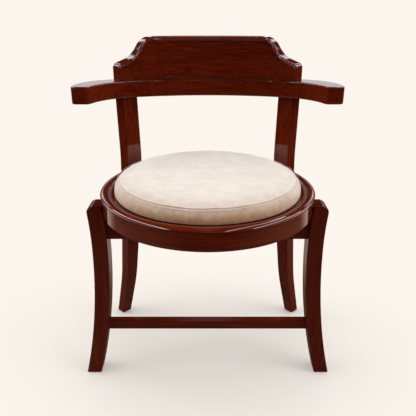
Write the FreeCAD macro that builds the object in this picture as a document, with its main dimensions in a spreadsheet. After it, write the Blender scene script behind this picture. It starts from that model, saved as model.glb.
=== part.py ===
"""Round-seat captain's chair: a mahogany frame with a curved arm bow and a loose cushion.

Units are millimetres, +Z is up, the sitter looks along -Y and +X is to the right as seen
from the front. The pieces are drawn round the upright axis of the seat and at the end
moved forward, so that the origin is on the floor under the middle of the whole chair.
"""
import FreeCAD, Part
import math
import os

import Sketcher

Vector = FreeCAD.Vector

document = FreeCAD.newDocument("captains_chair")
sheet = document.addObject("Spreadsheet::Sheet", "sizes")

# Driving sizes

SIZES = [
    ("overall_width", 584, "over the arms and over the front feet"),
    ("overall_depth", 470, "from the front of the seat rim to the back of the rear feet"),
    ("overall_height", 762, "floor to the top of the crest"),
    ("rim_radius", 228.5, "outside of the rounded seat rim"),
    ("rim_top", 467, "height of the top of the rim"),
    ("rim_thickness", 13, "height of the rim over the hoop"),
    ("lip_thickness", 8, "height of the rim's rounded edge"),
    ("rim_face", 20.5, "width of the rim outside the cushion's rebate"),
    ("rim_inner_round", 4, "rounding of the rim's inner top edge"),
    ("rebate_depth", 7, "drop from the rim's top to the ledge that carries the cushion"),
    ("rim_width", 48.5, "outside of the rim to the inside of the ledge"),
    ("rim_overhang", 3.5, "how far the rim stands out over the apron"),
    ("apron_height", 33, "height of the hoop under the rim"),
    ("apron_thickness", 22, "wall of the hoop"),
    ("apron_step", 11, "outer part of the hoop's wall that rises to the rim's edge"),
    ("apron_ease", 2, "rounding of the hoop's lower edges"),
    ("soft_gap", 0.3, "clearance round the soft pieces"),
    ("cover_thickness", 1.5, "suede cloth with its backing"),
    ("pad_play", 11, "foot of the cushion to the inner edge of the rim"),
    ("pad_bulge", 5, "how far the side of the cushion swells beyond its foot"),
    ("pad_bulge_height", 14.5, "height of the widest place above the ledge"),
    ("seam_inset", 5, "seam between top and side, inside the cushion's foot"),
    ("seam_height", 29.5, "height of the seam above the ledge"),
    ("seam_pinch", 0.8, "how far the seam is drawn in"),
    ("crown_height", 8, "rise of the middle of the cushion above the seam"),
    ("shoulder_radius", 12, "rounding from the crown down to the seam"),
    ("hem_width", 15, "cloth turned under the board"),
    ("board_thickness", 12, "plywood seat board"),
    ("board_play", 1, "board edge to the cloth"),
    ("dust_cover_thickness", 0.8, "black cloth under the board"),
    ("staple_crown", 10, "width of a staple"),
    ("staple_wire", 0.6, "thickness of a staple"),
    ("staple_leg", 6, "length of a staple's legs"),
    ("staple_inset", 8, "staples to the edge of the dust cover"),
    ("leg_width", 34, "front leg seen from the front"),
    ("leg_depth", 42, "front leg seen from the side"),
    ("leg_front", -48, "front face of the front legs"),
    ("leg_top", 438, "top of the front legs"),
    ("leg_waist", 335, "height where the front leg is nearest the middle"),
    ("leg_housing", 7.8, "how far the front leg's waist stands inside the hoop's outer face"),
    ("leg_top_lean", 6.5, "outward lean of the front leg's top"),
    ("leg_shoulder", 16, "rounding of the front leg's outer top corner"),
    ("leg_ease", 2, "eased edges of legs and rails"),
    ("post_place_angle", 38.3, "place of the rear leg round the seat, in degrees from the side"),
    ("post_facing_angle", 44, "direction that the rear leg leans in, in degrees from the side"),
    ("post_housing", 3.5, "how far the hoop is let into the rear leg"),
    ("post_width", 42, "face of the rear leg towards the seat"),
    ("post_depth", 30, "rear leg from that face to its back"),
    ("post_knee", 457, "height of the rear leg's knee"),
    ("post_knee_radius", 350, "bend at the knee"),
    ("post_lean", 21, "backward lean of the post from the knee to the arm bow"),
    ("post_inward", 11.5, "how far the post's top stands nearer the middle"),
    ("foot_bend", 135, "height of the rear leg's lower bend"),
    ("foot_bend_radius", 600, "lower bend"),
    ("foot_bend_lead", 42, "how far the lower bend stands in front of the foot"),
    ("foot_inward", 12.5, "how far the rear foot stands nearer the middle"),
    ("rear_foot", 27, "rear foot, both ways"),
    ("glide_height", 2, "floor glide under the foot"),
    ("glide_radius", 9, "floor glide"),
    ("nail_radius", 1.5, "nail of the floor glide"),
    ("nail_length", 14, "nail of the floor glide"),
    ("rail_height", 64, "cross rails under the hoop"),
    ("rail_thickness", 22, "cross rails under the hoop"),
    ("front_rail_setback", 8, "front rail behind the leg's front face"),
    ("rear_rail_back", 5, "rear rail behind the middle of the rear legs' faces"),
    ("rear_tenon_reach", 21, "end of the rear rail's tenon beyond that middle"),
    ("stretcher_size", 21, "front stretcher, height and depth"),
    ("stretcher_bottom", 123, "underside of the front stretcher"),
    ("tenon_thickness", 11, "tenons of rails and stretcher"),
    ("tenon_shoulder", 10, "rail tenon to the rail's top and bottom"),
    ("stretcher_tenon_shoulder", 4, "stretcher tenon to its top and bottom"),
    ("tenon_length", 20, "tenon inside the leg"),
    ("glue_gap", 0.1, "clearance of a glued joint, each side"),
    ("crest_height", 94.5, "top of the crest above the arm bow"),
    ("bow_height", 37, "arm bow, up and down"),
    ("bow_lead", 58.5, "front face of the bow in front of the back of the rim"),
    ("bow_width", 39, "arm bow, front to back at the middle"),
    ("bow_inner_radius", 560, "front face of the bow"),
    ("bow_outer_radius", 700, "back face of the bow"),
    ("arm_inner_reach", 124, "side of the arms to where the front face turns forward"),
    ("bow_inner_corner", 124, "bend of the front face into the arm"),
    ("arm_outer_reach", 70, "side of the arms to where the back face turns forward"),
    ("arm_tip", 53.5, "arm tip behind the middle of the seat"),
    ("arm_corner", 11, "upright corners of the arm tip"),
    ("arm_ease", 2.5, "eased edges of the arms"),
    ("crest_half_width", 217, "half width of the crest at its back"),
    ("crest_thickness", 30, "crest, front to back"),
    ("crest_setback", 4, "crest behind the front face of the bow"),
    ("crest_flare_angle", 36, "the crest's ends to the front-to-back line, in degrees"),
    ("crest_end_height", 28, "straight end of the crest"),
    ("crest_corner", 11, "rounding over the crest's end"),
    ("crest_slope_angle", 22.5, "slope of the shoulder in degrees"),
    ("crest_slope_run", 17, "straight part of the shoulder"),
    ("crest_hollow", 55, "hollow of the S curve"),
    ("crest_rise_angle", 60, "steepest slope of the S curve in degrees"),
    ("crest_rise_run", 10.5, "straight part of the steep slope"),
    ("crest_edge", 7, "rounded front edge of the crest"),
    ("dowel_radius", 4, "beech dowels"),
    ("dowel_length", 40, "beech dowels"),
    ("post_dowel_radius", 5, "dowels from post to arm"),
    ("post_dowel_spacing", 18, "the two dowels in a post"),
    ("post_dowel_inset", 12, "post dowels behind the post's face"),
    ("crest_dowel_inner", 60, "inner crest dowels from the middle"),
    ("crest_dowel_outer", 165, "outer crest dowels from the middle"),
    ("arm_dowel_spacing", 20, "the two dowels across the middle of the bow"),
    ("crest_screw_place", 112, "crest screws from the middle"),
    ("crest_screw_sink", 8, "counterbore under the bow for a crest screw"),
    ("crest_screw_length", 52, "crest screws"),
    ("screw_radius", 2.5, "wood screws"),
    ("screw_head_radius", 4.8, "wood screws"),
    ("screw_head_height", 3, "wood screws"),
    ("seat_block_length", 46, "blocks inside the hoop"),
    ("seat_block_thickness", 22, "blocks inside the hoop"),
    ("seat_block_height", 26, "blocks inside the hoop"),
    ("seat_screw_shift", 4.4, "those screws inside the middle of their blocks"),
    ("seat_screw_length", 42, "screws from the blocks up into the seat board"),
    ("block_screw_spacing", 23, "the two screws from a block into the hoop"),
    ("block_screw_length", 34, "screws from the blocks into the hoop"),
    ("bolt_radius", 3, "bolts from the hoop into the legs"),
    ("bolt_length", 46, "bolts from the hoop into the legs"),
    ("bolt_head_radius", 5.5, "bolt heads"),
    ("bolt_head_height", 4, "bolt heads"),
    ("bolt_spacing", 18, "the two bolts of a leg"),
    ("bolt_rise", 10, "bolts of the front legs above the hoop's underside"),
    ("washer_radius", 8, "bolt washers"),
    ("washer_thickness", 1.5, "bolt washers"),
    ("spot_face", 1.5, "flat sunk into the hoop under a washer"),
    ("rim_dowel_radius", 3, "dowels that centre the rim on the hoop"),
    ("rim_dowel_length", 14, "dowels that centre the rim on the hoop"),
    ("rim_dowel_rise", 4, "top of those dowels above the hoop"),
]

STAPLE_COUNT = 16
RIM_DOWEL_COUNT = 8
SEAT_BLOCK_ANGLES = (62, 118, 242, 298)    # degrees, clear of the legs

for row, (alias, number, meaning) in enumerate(SIZES, start=1):
    sheet.set("A%d" % row, alias)
    sheet.set("B%d" % row, str(number))
    sheet.set("C%d" % row, meaning)
    sheet.setAlias("B%d" % row, alias)
document.recompute()


def size(alias):
    """Number in the cell of that name."""
    return float(getattr(sheet, alias))


# Sizes that follow from the driving ones

half_width = size("overall_width") / 2
glide_height = size("glide_height")
rim_radius = size("rim_radius")
rim_bottom = size("rim_top") - size("rim_thickness")
ledge = size("rim_top") - size("rebate_depth")
apron_radius = rim_radius - size("rim_overhang")
apron_inner = apron_radius - size("apron_thickness")
apron_bottom = rim_bottom - size("apron_height")
lip_bottom = size("rim_top") - size("lip_thickness")
step_radius = apron_radius - size("apron_step")
pad_bottom = ledge + size("soft_gap")
seam_level = pad_bottom + size("seam_height")
board_bottom = pad_bottom + size("cover_thickness")
board_top = board_bottom + size("board_thickness")
dust_bottom = board_bottom - size("dust_cover_thickness")
pad_foot = rim_radius - size("rim_face") - size("pad_play")
seam_radius = pad_foot - size("seam_inset")
dust_radius = pad_foot - size("hem_width") - size("soft_gap")
leg_middle = size("leg_front") + size("leg_depth") / 2
leg_waist_inner = apron_radius - size("leg_housing")
foot_shift = half_width - size("leg_width") - leg_waist_inner
bow_top = size("overall_height") - size("crest_height")
bow_bottom = bow_top - size("bow_height")
facing = math.radians(size("post_facing_angle"))
post_x = (apron_radius - size("post_housing")) * math.cos(math.radians(size("post_place_angle")))
post_y = (apron_radius - size("post_housing")) * math.sin(math.radians(size("post_place_angle")))
rear_reach = size("overall_depth") - rim_radius
foot_corner = size("foot_inward") + size("rear_foot") / 2
sweep = ((rear_reach - post_y - foot_corner * math.cos(facing)) / math.sin(facing)
         - size("rear_foot"))
crest_radius = size("bow_inner_radius") + size("crest_setback")
crest_back_radius = crest_radius + size("crest_thickness")
bow_front = rim_radius - size("bow_lead")
bow_back = bow_front + size("bow_width")
bow_inner_bend = half_width - size("arm_inner_reach")
bow_outer_bend = half_width - size("arm_outer_reach")
bow_outer_corner = size("arm_outer_reach") / (1 - bow_outer_bend / size("bow_outer_radius"))
bow_centre = bow_front - size("bow_inner_radius")
bolt_level = apron_bottom + size("bolt_rise")


# Helpers

def origin_plane(body, role):
    """Origin plane of a body, by its role."""
    for feature in body.Origin.OriginFeatures:
        if feature.Role == role:
            return feature
    raise ValueError(role)


def new_body(label):
    """Empty body with a label."""
    body = document.addObject("PartDesign::Body", label)
    body.Label = label
    return body


def new_sketch(body, name, role, offset=0.0):
    """Sketch on one of the body's origin planes, moved along that plane's normal."""
    sketch = body.newObject("Sketcher::SketchObject", name)
    sketch.AttachmentSupport = (origin_plane(body, role), [""])
    sketch.MapMode = "FlatFace"
    sketch.AttachmentOffset = FreeCAD.Placement(Vector(0, 0, offset), FreeCAD.Rotation())
    return sketch


def draw(sketch, segments):
    """Lines from pairs of points and arcs from triples of points."""
    for points in segments:
        vectors = [Vector(x, y, 0) for x, y in points]
        if len(vectors) == 2:
            sketch.addGeometry(Part.LineSegment(*vectors))
        else:
            sketch.addGeometry(Part.Arc(*vectors))


def pad(body, sketch, length, midplane=False):
    """Pad whose length is an expression on the sheet."""
    feature = body.newObject("PartDesign::Pad", sketch.Name + "_pad")
    feature.Profile = sketch
    feature.setExpression("Length", length)
    feature.Midplane = midplane
    body.Tip = feature
    document.recompute()
    return feature


def revolve(body, sketch):
    """Full turn about the sketch's vertical axis."""
    feature = body.newObject("PartDesign::Revolution", sketch.Name + "_turn")
    feature.Profile = sketch
    feature.ReferenceAxis = (sketch, ["V_Axis"])
    feature.Angle = 360
    body.Tip = feature
    document.recompute()
    return feature


def pocket(body, sketch, reverse=False):
    """Pocket right through the body, both ways unless reversed."""
    before = body.Tip.Shape.Volume
    feature = body.newObject("PartDesign::Pocket", sketch.Name + "_pocket")
    feature.Profile = sketch
    feature.Type = "ThroughAll"
    feature.Midplane = not reverse
    feature.Reversed = reverse
    body.Tip = feature
    document.recompute()
    if feature.Shape.Volume >= before:
        raise ValueError("%s takes nothing away" % sketch.Name)
    return feature


def round_edges(body, radius, wanted):
    """Fillet the edges of the body for which wanted(edge) is true."""
    base = body.Tip
    names = ["Edge%d" % (i + 1) for i, edge in enumerate(base.Shape.Edges) if wanted(edge)]
    feature = body.newObject("PartDesign::Fillet", body.Name + "_round")
    feature.Base = (base, names)
    feature.setExpression("Radius", radius)
    body.Tip = feature
    document.recompute()
    return feature


def cylinder(name, radius, height, place=Vector(), direction=Vector(0, 0, 1)):
    """Cylinder with expressions for its sizes, from place along direction."""
    solid = document.addObject("Part::Cylinder", name)
    solid.setExpression("Radius", radius)
    solid.setExpression("Height", height)
    solid.Placement = FreeCAD.Placement(place, FreeCAD.Rotation(Vector(0, 0, 1), direction))
    return solid


def block(name, length, width, height, middle, turn=0.0):
    """Box with expressions for its sizes, centred in plan on middle, turned about Z."""
    solid = document.addObject("Part::Box", name)
    solid.setExpression("Length", length)
    solid.setExpression("Width", width)
    solid.setExpression("Height", height)
    document.recompute()
    corner = Vector(-solid.Length.Value / 2, -solid.Width.Value / 2, 0)
    rotation = FreeCAD.Rotation(Vector(0, 0, 1), turn)
    solid.Placement = FreeCAD.Placement(middle + rotation.multVec(corner), rotation)
    return solid


def fuse(label, members):
    """Union of several solids."""
    result = document.addObject("Part::MultiFuse", label)
    result.Shapes = members
    result.Label = label
    return result


def cut(label, base, tools):
    """Base with all tools taken away."""
    result = document.addObject("Part::Cut", label)
    result.Base = base
    result.Tool = tools[0] if len(tools) == 1 else fuse(label + "_tools", tools)
    result.Label = label
    return result


def mirror(label, source):
    """Copy of a piece on the other side of the chair's middle."""
    result = document.addObject("Part::Mirroring", label)
    result.Source = source
    result.Normal = Vector(1, 0, 0)
    result.Label = label
    return result


def on_right(tools):
    """Those tools that reach the chair's right half."""
    return [tool for tool in tools if tool.Placement.Base.x > -size("dowel_length")]


def group(label, members):
    """Several separate solids under one name."""
    result = document.addObject("Part::Compound", label)
    result.Links = members
    result.Label = label
    return result


def rounded_path(corners, radii):
    """Lines through the corners with tangent arcs in the inner ones."""
    path = []
    start = Vector(*corners[0], 0)
    for corner, after, radius in zip(corners[1:-1], corners[2:], radii):
        corner, after = Vector(*corner, 0), Vector(*after, 0)
        back = (start - corner).normalize()
        ahead = (after - corner).normalize()
        half_angle = back.getAngle(ahead) / 2
        reach = radius / math.tan(half_angle)
        first, last = corner + back * reach, corner + ahead * reach
        inward = (back + ahead).normalize()
        middle = corner + inward * (radius / math.sin(half_angle) - radius)
        path.append(((start.x, start.y), (first.x, first.y)))
        path.append(((first.x, first.y), (middle.x, middle.y), (last.x, last.y)))
        start = last
    path.append(((start.x, start.y), tuple(corners[-1])))
    return path


# Seat rim: a turned moulding with a bullnose edge, a step and a ledge for the cushion

def make_seat_rim():
    body = new_body("seat_rim_blank")
    sketch = new_sketch(body, "rim_section", "XZ_Plane")
    top = size("rim_top")
    edge = size("lip_thickness") / 2
    step = step_radius - size("glue_gap")
    inner = rim_radius - size("rim_face")
    ease = size("rim_inner_round")
    opening = rim_radius - size("rim_width")
    slant = ease * math.sqrt(0.5)
    draw(sketch, [
        ((opening, rim_bottom), (step, rim_bottom)),
        ((step, rim_bottom), (step, lip_bottom)),
        ((step, lip_bottom), (rim_radius - edge, lip_bottom)),
        ((rim_radius - edge, lip_bottom), (rim_radius, top - edge), (rim_radius - edge, top)),
        ((rim_radius - edge, top), (inner + ease, top)),
        ((inner + ease, top), (inner + ease - slant, top - ease + slant), (inner, top - ease)),
        ((inner, top - ease), (inner, ledge)),
        ((inner, ledge), (opening, ledge)),
        ((opening, ledge), (opening, rim_bottom)),
    ])
    revolve(body, sketch)
    return body


# Apron: the bent hoop that carries the rim and rises round its step

def make_seat_apron():
    body = new_body("seat_apron_blank")
    sketch = new_sketch(body, "apron_section", "XZ_Plane")
    draw(sketch, [
        ((apron_inner, apron_bottom), (apron_radius, apron_bottom)),
        ((apron_radius, apron_bottom), (apron_radius, lip_bottom)),
        ((apron_radius, lip_bottom), (step_radius, lip_bottom)),
        ((step_radius, lip_bottom), (step_radius, rim_bottom)),
        ((step_radius, rim_bottom), (apron_inner, rim_bottom)),
        ((apron_inner, rim_bottom), (apron_inner, apron_bottom)),
    ])
    revolve(body, sketch)
    round_edges(body, "sizes.apron_ease",
                lambda edge: abs(edge.BoundBox.ZMax - apron_bottom) < 0.01)
    return body


def ring_places(count, radius, level):
    """Points round a circle, the first half a step from the side."""
    places = []
    for i in range(count):
        angle = 2 * math.pi * (i + 0.5) / count
        places.append((Vector(radius * math.cos(angle), radius * math.sin(angle), level),
                       math.degrees(angle)))
    return places


# Cushion: arcs that share their centres at every depth below the cloth's surface

class CushionSection:
    """Half section of the cushion at a depth below its outer surface."""

    def __init__(self):
        foot = pad_foot
        bulge = size("pad_bulge")
        rise = size("pad_bulge_height")
        self.side_radius = (rise * rise + bulge * bulge) / (2 * bulge)
        self.side_centre = (foot + bulge - self.side_radius, pad_bottom + rise)
        shoulder = size("shoulder_radius")
        top = seam_level + size("crown_height")
        # The crown meets the shoulder where both have the same slope.
        self.crown_radius = self.solve_crown(top, shoulder)
        self.crown_centre = (0.0, top - self.crown_radius)
        self.shoulder_radius = shoulder
        slope = self.join_slope
        reach = (self.crown_radius - shoulder) * math.sin(slope)
        self.shoulder_centre = (reach, self.crown_centre[1]
                                + (self.crown_radius - shoulder) * math.cos(slope))

    def solve_crown(self, top, shoulder):
        """Crown radius for which the shoulder passes through the seam."""
        low, high = seam_radius * 3, seam_radius * 200
        for _ in range(60):
            radius = (low + high) / 2
            slope = self.slope_through_seam(radius, top, shoulder)
            if slope is None:
                low = radius
            else:
                high = radius
                self.join_slope = slope
        return high

    def slope_through_seam(self, radius, top, shoulder):
        """Slope at the join, or None if the shoulder misses the seam's radius."""
        low, high = 0.0, math.asin(min(1.0, seam_radius / radius))
        for _ in range(60):
            slope = (low + high) / 2
            x = (radius - shoulder) * math.sin(slope)
            z = top - radius + (radius - shoulder) * math.cos(slope)
            distance = math.hypot(seam_radius - x, seam_level - z)
            if distance > shoulder:
                low = slope
            else:
                high = slope
        x = (radius - shoulder) * math.sin(high)
        return high if seam_radius - x > 0.5 * shoulder else None

    def on(self, centre, radius, angle):
        """Point at an angle from the vertical on a circle."""
        return (centre[0] + radius * math.sin(angle), centre[1] + radius * math.cos(angle))

    def crown(self, depth):
        """Middle of the top, crown point half way and the join with the shoulder."""
        radius = self.crown_radius - depth
        return [self.on(self.crown_centre, radius, share * self.join_slope)
                for share in (0.0, 0.5, 1.0)]

    def shoulder(self, depth):
        """Join with the crown, middle of the shoulder and the seam."""
        radius = self.shoulder_radius - depth
        last = math.atan2(seam_radius - self.shoulder_centre[0],
                          seam_level - self.shoulder_centre[1])
        angles = (self.join_slope, (self.join_slope + last) / 2, last)
        return [self.on(self.shoulder_centre, radius, angle) for angle in angles]

    def side(self, depth, low, high):
        """Lowest, middle and highest point of the side between two levels."""
        radius = self.side_radius - depth
        points = []
        for level in (low, (low + high) / 2, high):
            offset = level - self.side_centre[1]
            points.append((self.side_centre[0] + math.sqrt(radius ** 2 - offset ** 2), level))
        return points


section = CushionSection()


def make_cover_top():
    """Round top panel of the cover, drawn in at the seam."""
    body = new_body("seat_cover_top")
    sketch = new_sketch(body, "cover_top_section", "XZ_Plane")
    thickness = size("cover_thickness")
    outer_crown = section.crown(0)
    outer_shoulder = section.shoulder(0)
    inner_crown = section.crown(thickness)
    inner_shoulder = section.shoulder(thickness)
    draw(sketch, [
        outer_crown,
        outer_shoulder,
        (outer_shoulder[-1], inner_shoulder[-1]),
        inner_shoulder[::-1],
        inner_crown[::-1],
        (inner_crown[0], outer_crown[0]),
    ])
    revolve(body, sketch)
    return body


def make_cover_band():
    """Side band of the cover with the hem that is turned under the board."""
    body = new_body("seat_cover_band_blank")
    sketch = new_sketch(body, "cover_band_section", "XZ_Plane")
    thickness = size("cover_thickness")
    pinch = size("seam_pinch")
    outer = section.side(0, pad_bottom, seam_level - 3 * pinch)
    inner = section.side(thickness, board_bottom, seam_level - 3 * pinch)
    seam = section.shoulder(pinch)[-1]
    seam_top = (seam[0], section.shoulder(thickness)[-1][1] - size("soft_gap"))
    seam_inside = (seam[0] - thickness, seam_top[1])
    hem = pad_foot - size("hem_width")
    draw(sketch, [
        ((hem, pad_bottom), outer[0]),
        outer,
        (outer[-1], seam_top),
        (seam_top, seam_inside),
        (seam_inside, inner[-1]),
        inner[::-1],
        (inner[0], (hem, board_bottom)),
        ((hem, board_bottom), (hem, pad_bottom)),
    ])
    revolve(body, sketch)
    return body


def make_foam():
    """Foam that fills the cover above the board."""
    body = new_body("seat_foam")
    sketch = new_sketch(body, "foam_section", "XZ_Plane")
    depth = size("cover_thickness") + size("soft_gap")
    pinch = size("seam_pinch")
    crown = section.crown(depth)
    shoulder = section.shoulder(depth + pinch)
    side = section.side(depth, board_top, seam_level - 3 * pinch)
    side_top = (shoulder[-1][0] - pinch, side[-1][1] + pinch)
    draw(sketch, [
        crown,
        (crown[-1], shoulder[1]),
        (shoulder[1], side_top),
        (side_top, side[-1]),
        side[::-1],
        (side[0], (0, board_top)),
        ((0, board_top), crown[0]),
    ])
    revolve(body, sketch)
    return body


def disc(label, radius, thickness, level):
    """Flat round piece with expressions for its sizes."""
    body = new_body(label)
    sketch = new_sketch(body, label + "_circle", "XY_Plane", level)
    sketch.addGeometry(Part.Circle(Vector(), Vector(0, 0, 1), rim_radius))
    sketch.addConstraint(Sketcher.Constraint("Coincident", 0, 3, -1, 1))
    sketch.addConstraint(Sketcher.Constraint("Radius", 0, rim_radius))
    sketch.renameConstraint(1, "disc_radius")
    sketch.setExpression("Constraints.disc_radius", radius)
    document.recompute()
    pad(body, sketch, thickness)
    return body


PAD_FOOT = "sizes.rim_radius - sizes.rim_face - sizes.pad_play"
BOARD_RADIUS = PAD_FOOT + " - sizes.cover_thickness - sizes.board_play"
DUST_RADIUS = PAD_FOOT + " - sizes.hem_width - sizes.soft_gap"


def make_staple(index, place, turn, margin, name):
    """Staple crown under the dust cover with its two legs, or the slots for them."""
    wire = "sizes.staple_wire + %g" % margin
    parts = []
    if margin == 0:
        crown = block("%s_crown_%d" % (name, index), wire, "sizes.staple_crown", wire,
                      place, turn)
        parts.append(crown)
    across = Vector(-math.sin(math.radians(turn)), math.cos(math.radians(turn)), 0)
    reach = (size("staple_crown") - size("staple_wire")) / 2
    for side in (-1, 1):
        leg = block("%s_leg_%d_%d" % (name, index, side + 1), wire, wire,
                    "sizes.staple_leg", place + across * (side * reach), turn)
        parts.append(leg)
    return parts


def make_staples():
    """Staples and the slots that they make."""
    staples, slots = [], []
    radius = dust_radius - size("staple_inset")
    level = dust_bottom - size("staple_wire")
    fit = 2 * size("glue_gap")
    for index, (place, turn) in enumerate(ring_places(STAPLE_COUNT, radius, level)):
        staples.append(fuse("staple_%d" % index,
                            make_staple(index, place, turn, 0, "staple")))
        slots.extend(make_staple(index, place, turn, fit, "slot"))
    return staples, slots


# Front legs: sawn to a waisted curve, square to the front

def leg_edge(x, level):
    """Side of a front leg at a level, for the curve that passes x at the waist."""
    above = level - size("leg_waist")
    if above > 0:
        shift, rise = size("leg_top_lean"), size("leg_top") - size("leg_waist")
    else:
        shift, rise = foot_shift, size("leg_waist") - glide_height
    radius = (shift ** 2 + rise ** 2) / (2 * shift)
    return x + radius - math.copysign(math.sqrt(radius ** 2 - above ** 2), radius)


def leg_curve(x, low, high):
    """Arcs of that curve between two levels, parted at the waist."""
    waist = size("leg_waist")
    stops = [low, waist, high] if low < waist < high else [low, high]
    return [[(leg_edge(x, level), level) for level in (first, (first + last) / 2, last)]
            for first, last in zip(stops, stops[1:])]


def make_front_leg_blank():
    body = new_body("front_leg_right_blank")
    sketch = new_sketch(body, "front_leg_outline", "XZ_Plane", -leg_middle)
    top = size("leg_top")
    inner = leg_curve(leg_waist_inner, glide_height, top)
    outer = leg_curve(leg_waist_inner + size("leg_width"), glide_height, top)
    draw(sketch, inner + outer)
    draw(sketch, [(inner[0][0], outer[0][0]), (inner[-1][-1], outer[-1][-1])])
    pad(body, sketch, "sizes.leg_depth", midplane=True)

    def at_corner(edge, corner):
        place = edge.CenterOfMass
        return (edge.BoundBox.YLength > 1 and abs(place.x - corner[0]) < 0.01
                and abs(place.z - corner[1]) < 0.01)

    round_edges(body, "sizes.leg_shoulder", lambda edge: at_corner(edge, outer[-1][-1]))
    round_edges(body, "sizes.leg_ease",
                lambda edge: edge.BoundBox.YLength < 0.01
                or edge.BoundBox.ZMax < glide_height + 1
                or at_corner(edge, inner[-1][-1]))
    return body


# Rear legs: one piece from the floor to the arm bow, bent at the seat and above the foot

POST_WAY = FreeCAD.Placement(Vector(post_x, post_y, 0),
                             FreeCAD.Rotation(Vector(0, 0, 1), size("post_facing_angle")))


def post_line(positions):
    """Line down a rear leg through its top, knee, lower bend and foot."""
    levels = (bow_bottom, size("post_knee"), size("foot_bend"), glide_height)
    return rounded_path(list(zip(positions, levels)),
                        (size("post_knee_radius"), size("foot_bend_radius")))


def post_face():
    """Side view of the face towards the seat."""
    return post_line((size("post_lean"), 0, sweep - size("foot_bend_lead"), sweep))


def make_rear_leg_blank():
    body = new_body("rear_leg_right_blank")
    knee, bend = size("post_knee"), size("foot_bend")
    depth, foot = size("post_depth"), size("rear_foot")
    front = post_face()
    back = post_line((size("post_lean") + depth, depth,
                      sweep - size("foot_bend_lead") + (depth + foot) / 2, sweep + foot))
    sketch = new_sketch(body, "rear_leg_side_view", "XZ_Plane")
    draw(sketch, front + back)
    draw(sketch, [(front[0][0], back[0][0]), (front[-1][-1], back[-1][-1])])
    pad(body, sketch, "2 * sizes.post_width + 2 * sizes.post_inward", midplane=True)

    bend_shift = size("foot_inward") * (knee - bend) / knee
    bend_width = foot + (size("post_width") - foot) * bend / knee
    widths = (size("post_width"), size("post_width"), bend_width, foot)
    shifts = (size("post_inward"), 0, bend_shift, size("foot_inward"))
    far = 2 * size("post_width") + size("post_inward")
    trim = new_sketch(body, "rear_leg_front_view", "YZ_Plane")
    for face in (-1, 1):
        edge = post_line([shift + face * width / 2 for shift, width in zip(shifts, widths)])
        above, below = (face * far, bow_bottom), (face * far, 0)
        foot_end = edge[-1][-1]
        draw(trim, edge)
        draw(trim, [(edge[0][0], above), (above, below), (below, (foot_end[0], 0)),
                    ((foot_end[0], 0), foot_end)])
    pocket(body, trim)
    round_edges(body, "sizes.leg_ease", lambda edge: edge.BoundBox.ZLength > foot)
    body.Placement = POST_WAY
    return body


def make_post_space():
    """All that lies beyond a rear leg's face, to fit the rear rail to it."""
    body = new_body("post_space")
    face = post_face()
    top, foot = face[0][0], face[-1][-1]
    far = sweep + 2 * size("post_width")
    sketch = new_sketch(body, "post_space_side_view", "XZ_Plane")
    draw(sketch, face)
    draw(sketch, [(top, (far, top[1])), ((far, top[1]), (far, foot[1])),
                  ((far, foot[1]), foot)])
    pad(body, sketch, "4 * sizes.post_width", midplane=True)
    body.Placement = POST_WAY
    return body


def post_point(side, outward, inward, level):
    """Point by its distances from the middle of the rear leg's face at the seat."""
    return Vector(side * (post_x + outward * math.cos(facing) - inward * math.sin(facing)),
                  post_y + outward * math.sin(facing) + inward * math.cos(facing), level)


# Rails and stretcher: shaped to the legs that they run between

def add_tenons(label, rail, height, level, y, shoulder, end):
    """Rail with its tenons, and the block that cuts both mortises."""
    low = level + size(shoulder)
    tall = "sizes.%s - 2 * sizes.%s" % (height, shoulder)
    tongue = block(label + "_tongue", "%g" % (2 * end), "sizes.tenon_thickness", tall,
                   Vector(0, y, low))
    gap = size("glue_gap")
    mortise = block(label + "_mortise", "%g" % (2 * end + 2 * gap),
                    "sizes.tenon_thickness + 2 * sizes.glue_gap",
                    tall + " + 2 * sizes.glue_gap", Vector(0, y, low - gap))
    return fuse(label, [rail, tongue]), mortise


def make_front_crosspiece(label, thickness, height, level, shoulder):
    """Rail or stretcher whose ends follow the inner sides of the front legs."""
    body = new_body(label + "_blank")
    y = size("leg_front") + size("front_rail_setback") + size(thickness) / 2
    sketch = new_sketch(body, label + "_front_view", "XZ_Plane", -y)
    right = leg_curve(leg_waist_inner - size("glue_gap"), level, level + size(height))
    low, high = right[0][0], right[-1][-1]
    draw(sketch, right)
    draw(sketch, [[(-x, z) for x, z in points] for points in right])
    draw(sketch, [((-low[0], low[1]), low), ((-high[0], high[1]), high)])
    pad(body, sketch, "sizes." + thickness, midplane=True)
    round_edges(body, "sizes.leg_ease",
                lambda edge: edge.BoundBox.XLength > leg_waist_inner)
    tenon_end = leg_edge(leg_waist_inner, level) + size("tenon_length")
    return add_tenons(label, body, height, level, y, shoulder, tenon_end)


def make_rear_rail(level):
    """Rail between the rear legs, cut to their faces."""
    body = new_body("rear_rail_blank")
    y = post_y + size("rear_rail_back")
    sketch = new_sketch(body, "rear_rail_section", "YZ_Plane")
    half = size("rail_thickness") / 2
    top = level + size("rail_height")
    draw(sketch, [
        ((y - half, level), (y + half, level)),
        ((y + half, level), (y + half, top)),
        ((y + half, top), (y - half, top)),
        ((y - half, top), (y - half, level)),
    ])
    pad(body, sketch, "%g + 2 * sizes.post_width" % (2 * post_x), midplane=True)
    round_edges(body, "sizes.leg_ease", lambda edge: edge.BoundBox.XLength > post_x)
    space = make_post_space()
    shaped = cut("rear_rail_shaped", body, [space, mirror("post_space_opposite", space)])
    return add_tenons("rear_rail", shaped, "rail_height", level, y, "tenon_shoulder",
                      post_x + size("rear_tenon_reach"))


# Arm bow: two shaped arms that meet under the crest

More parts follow.
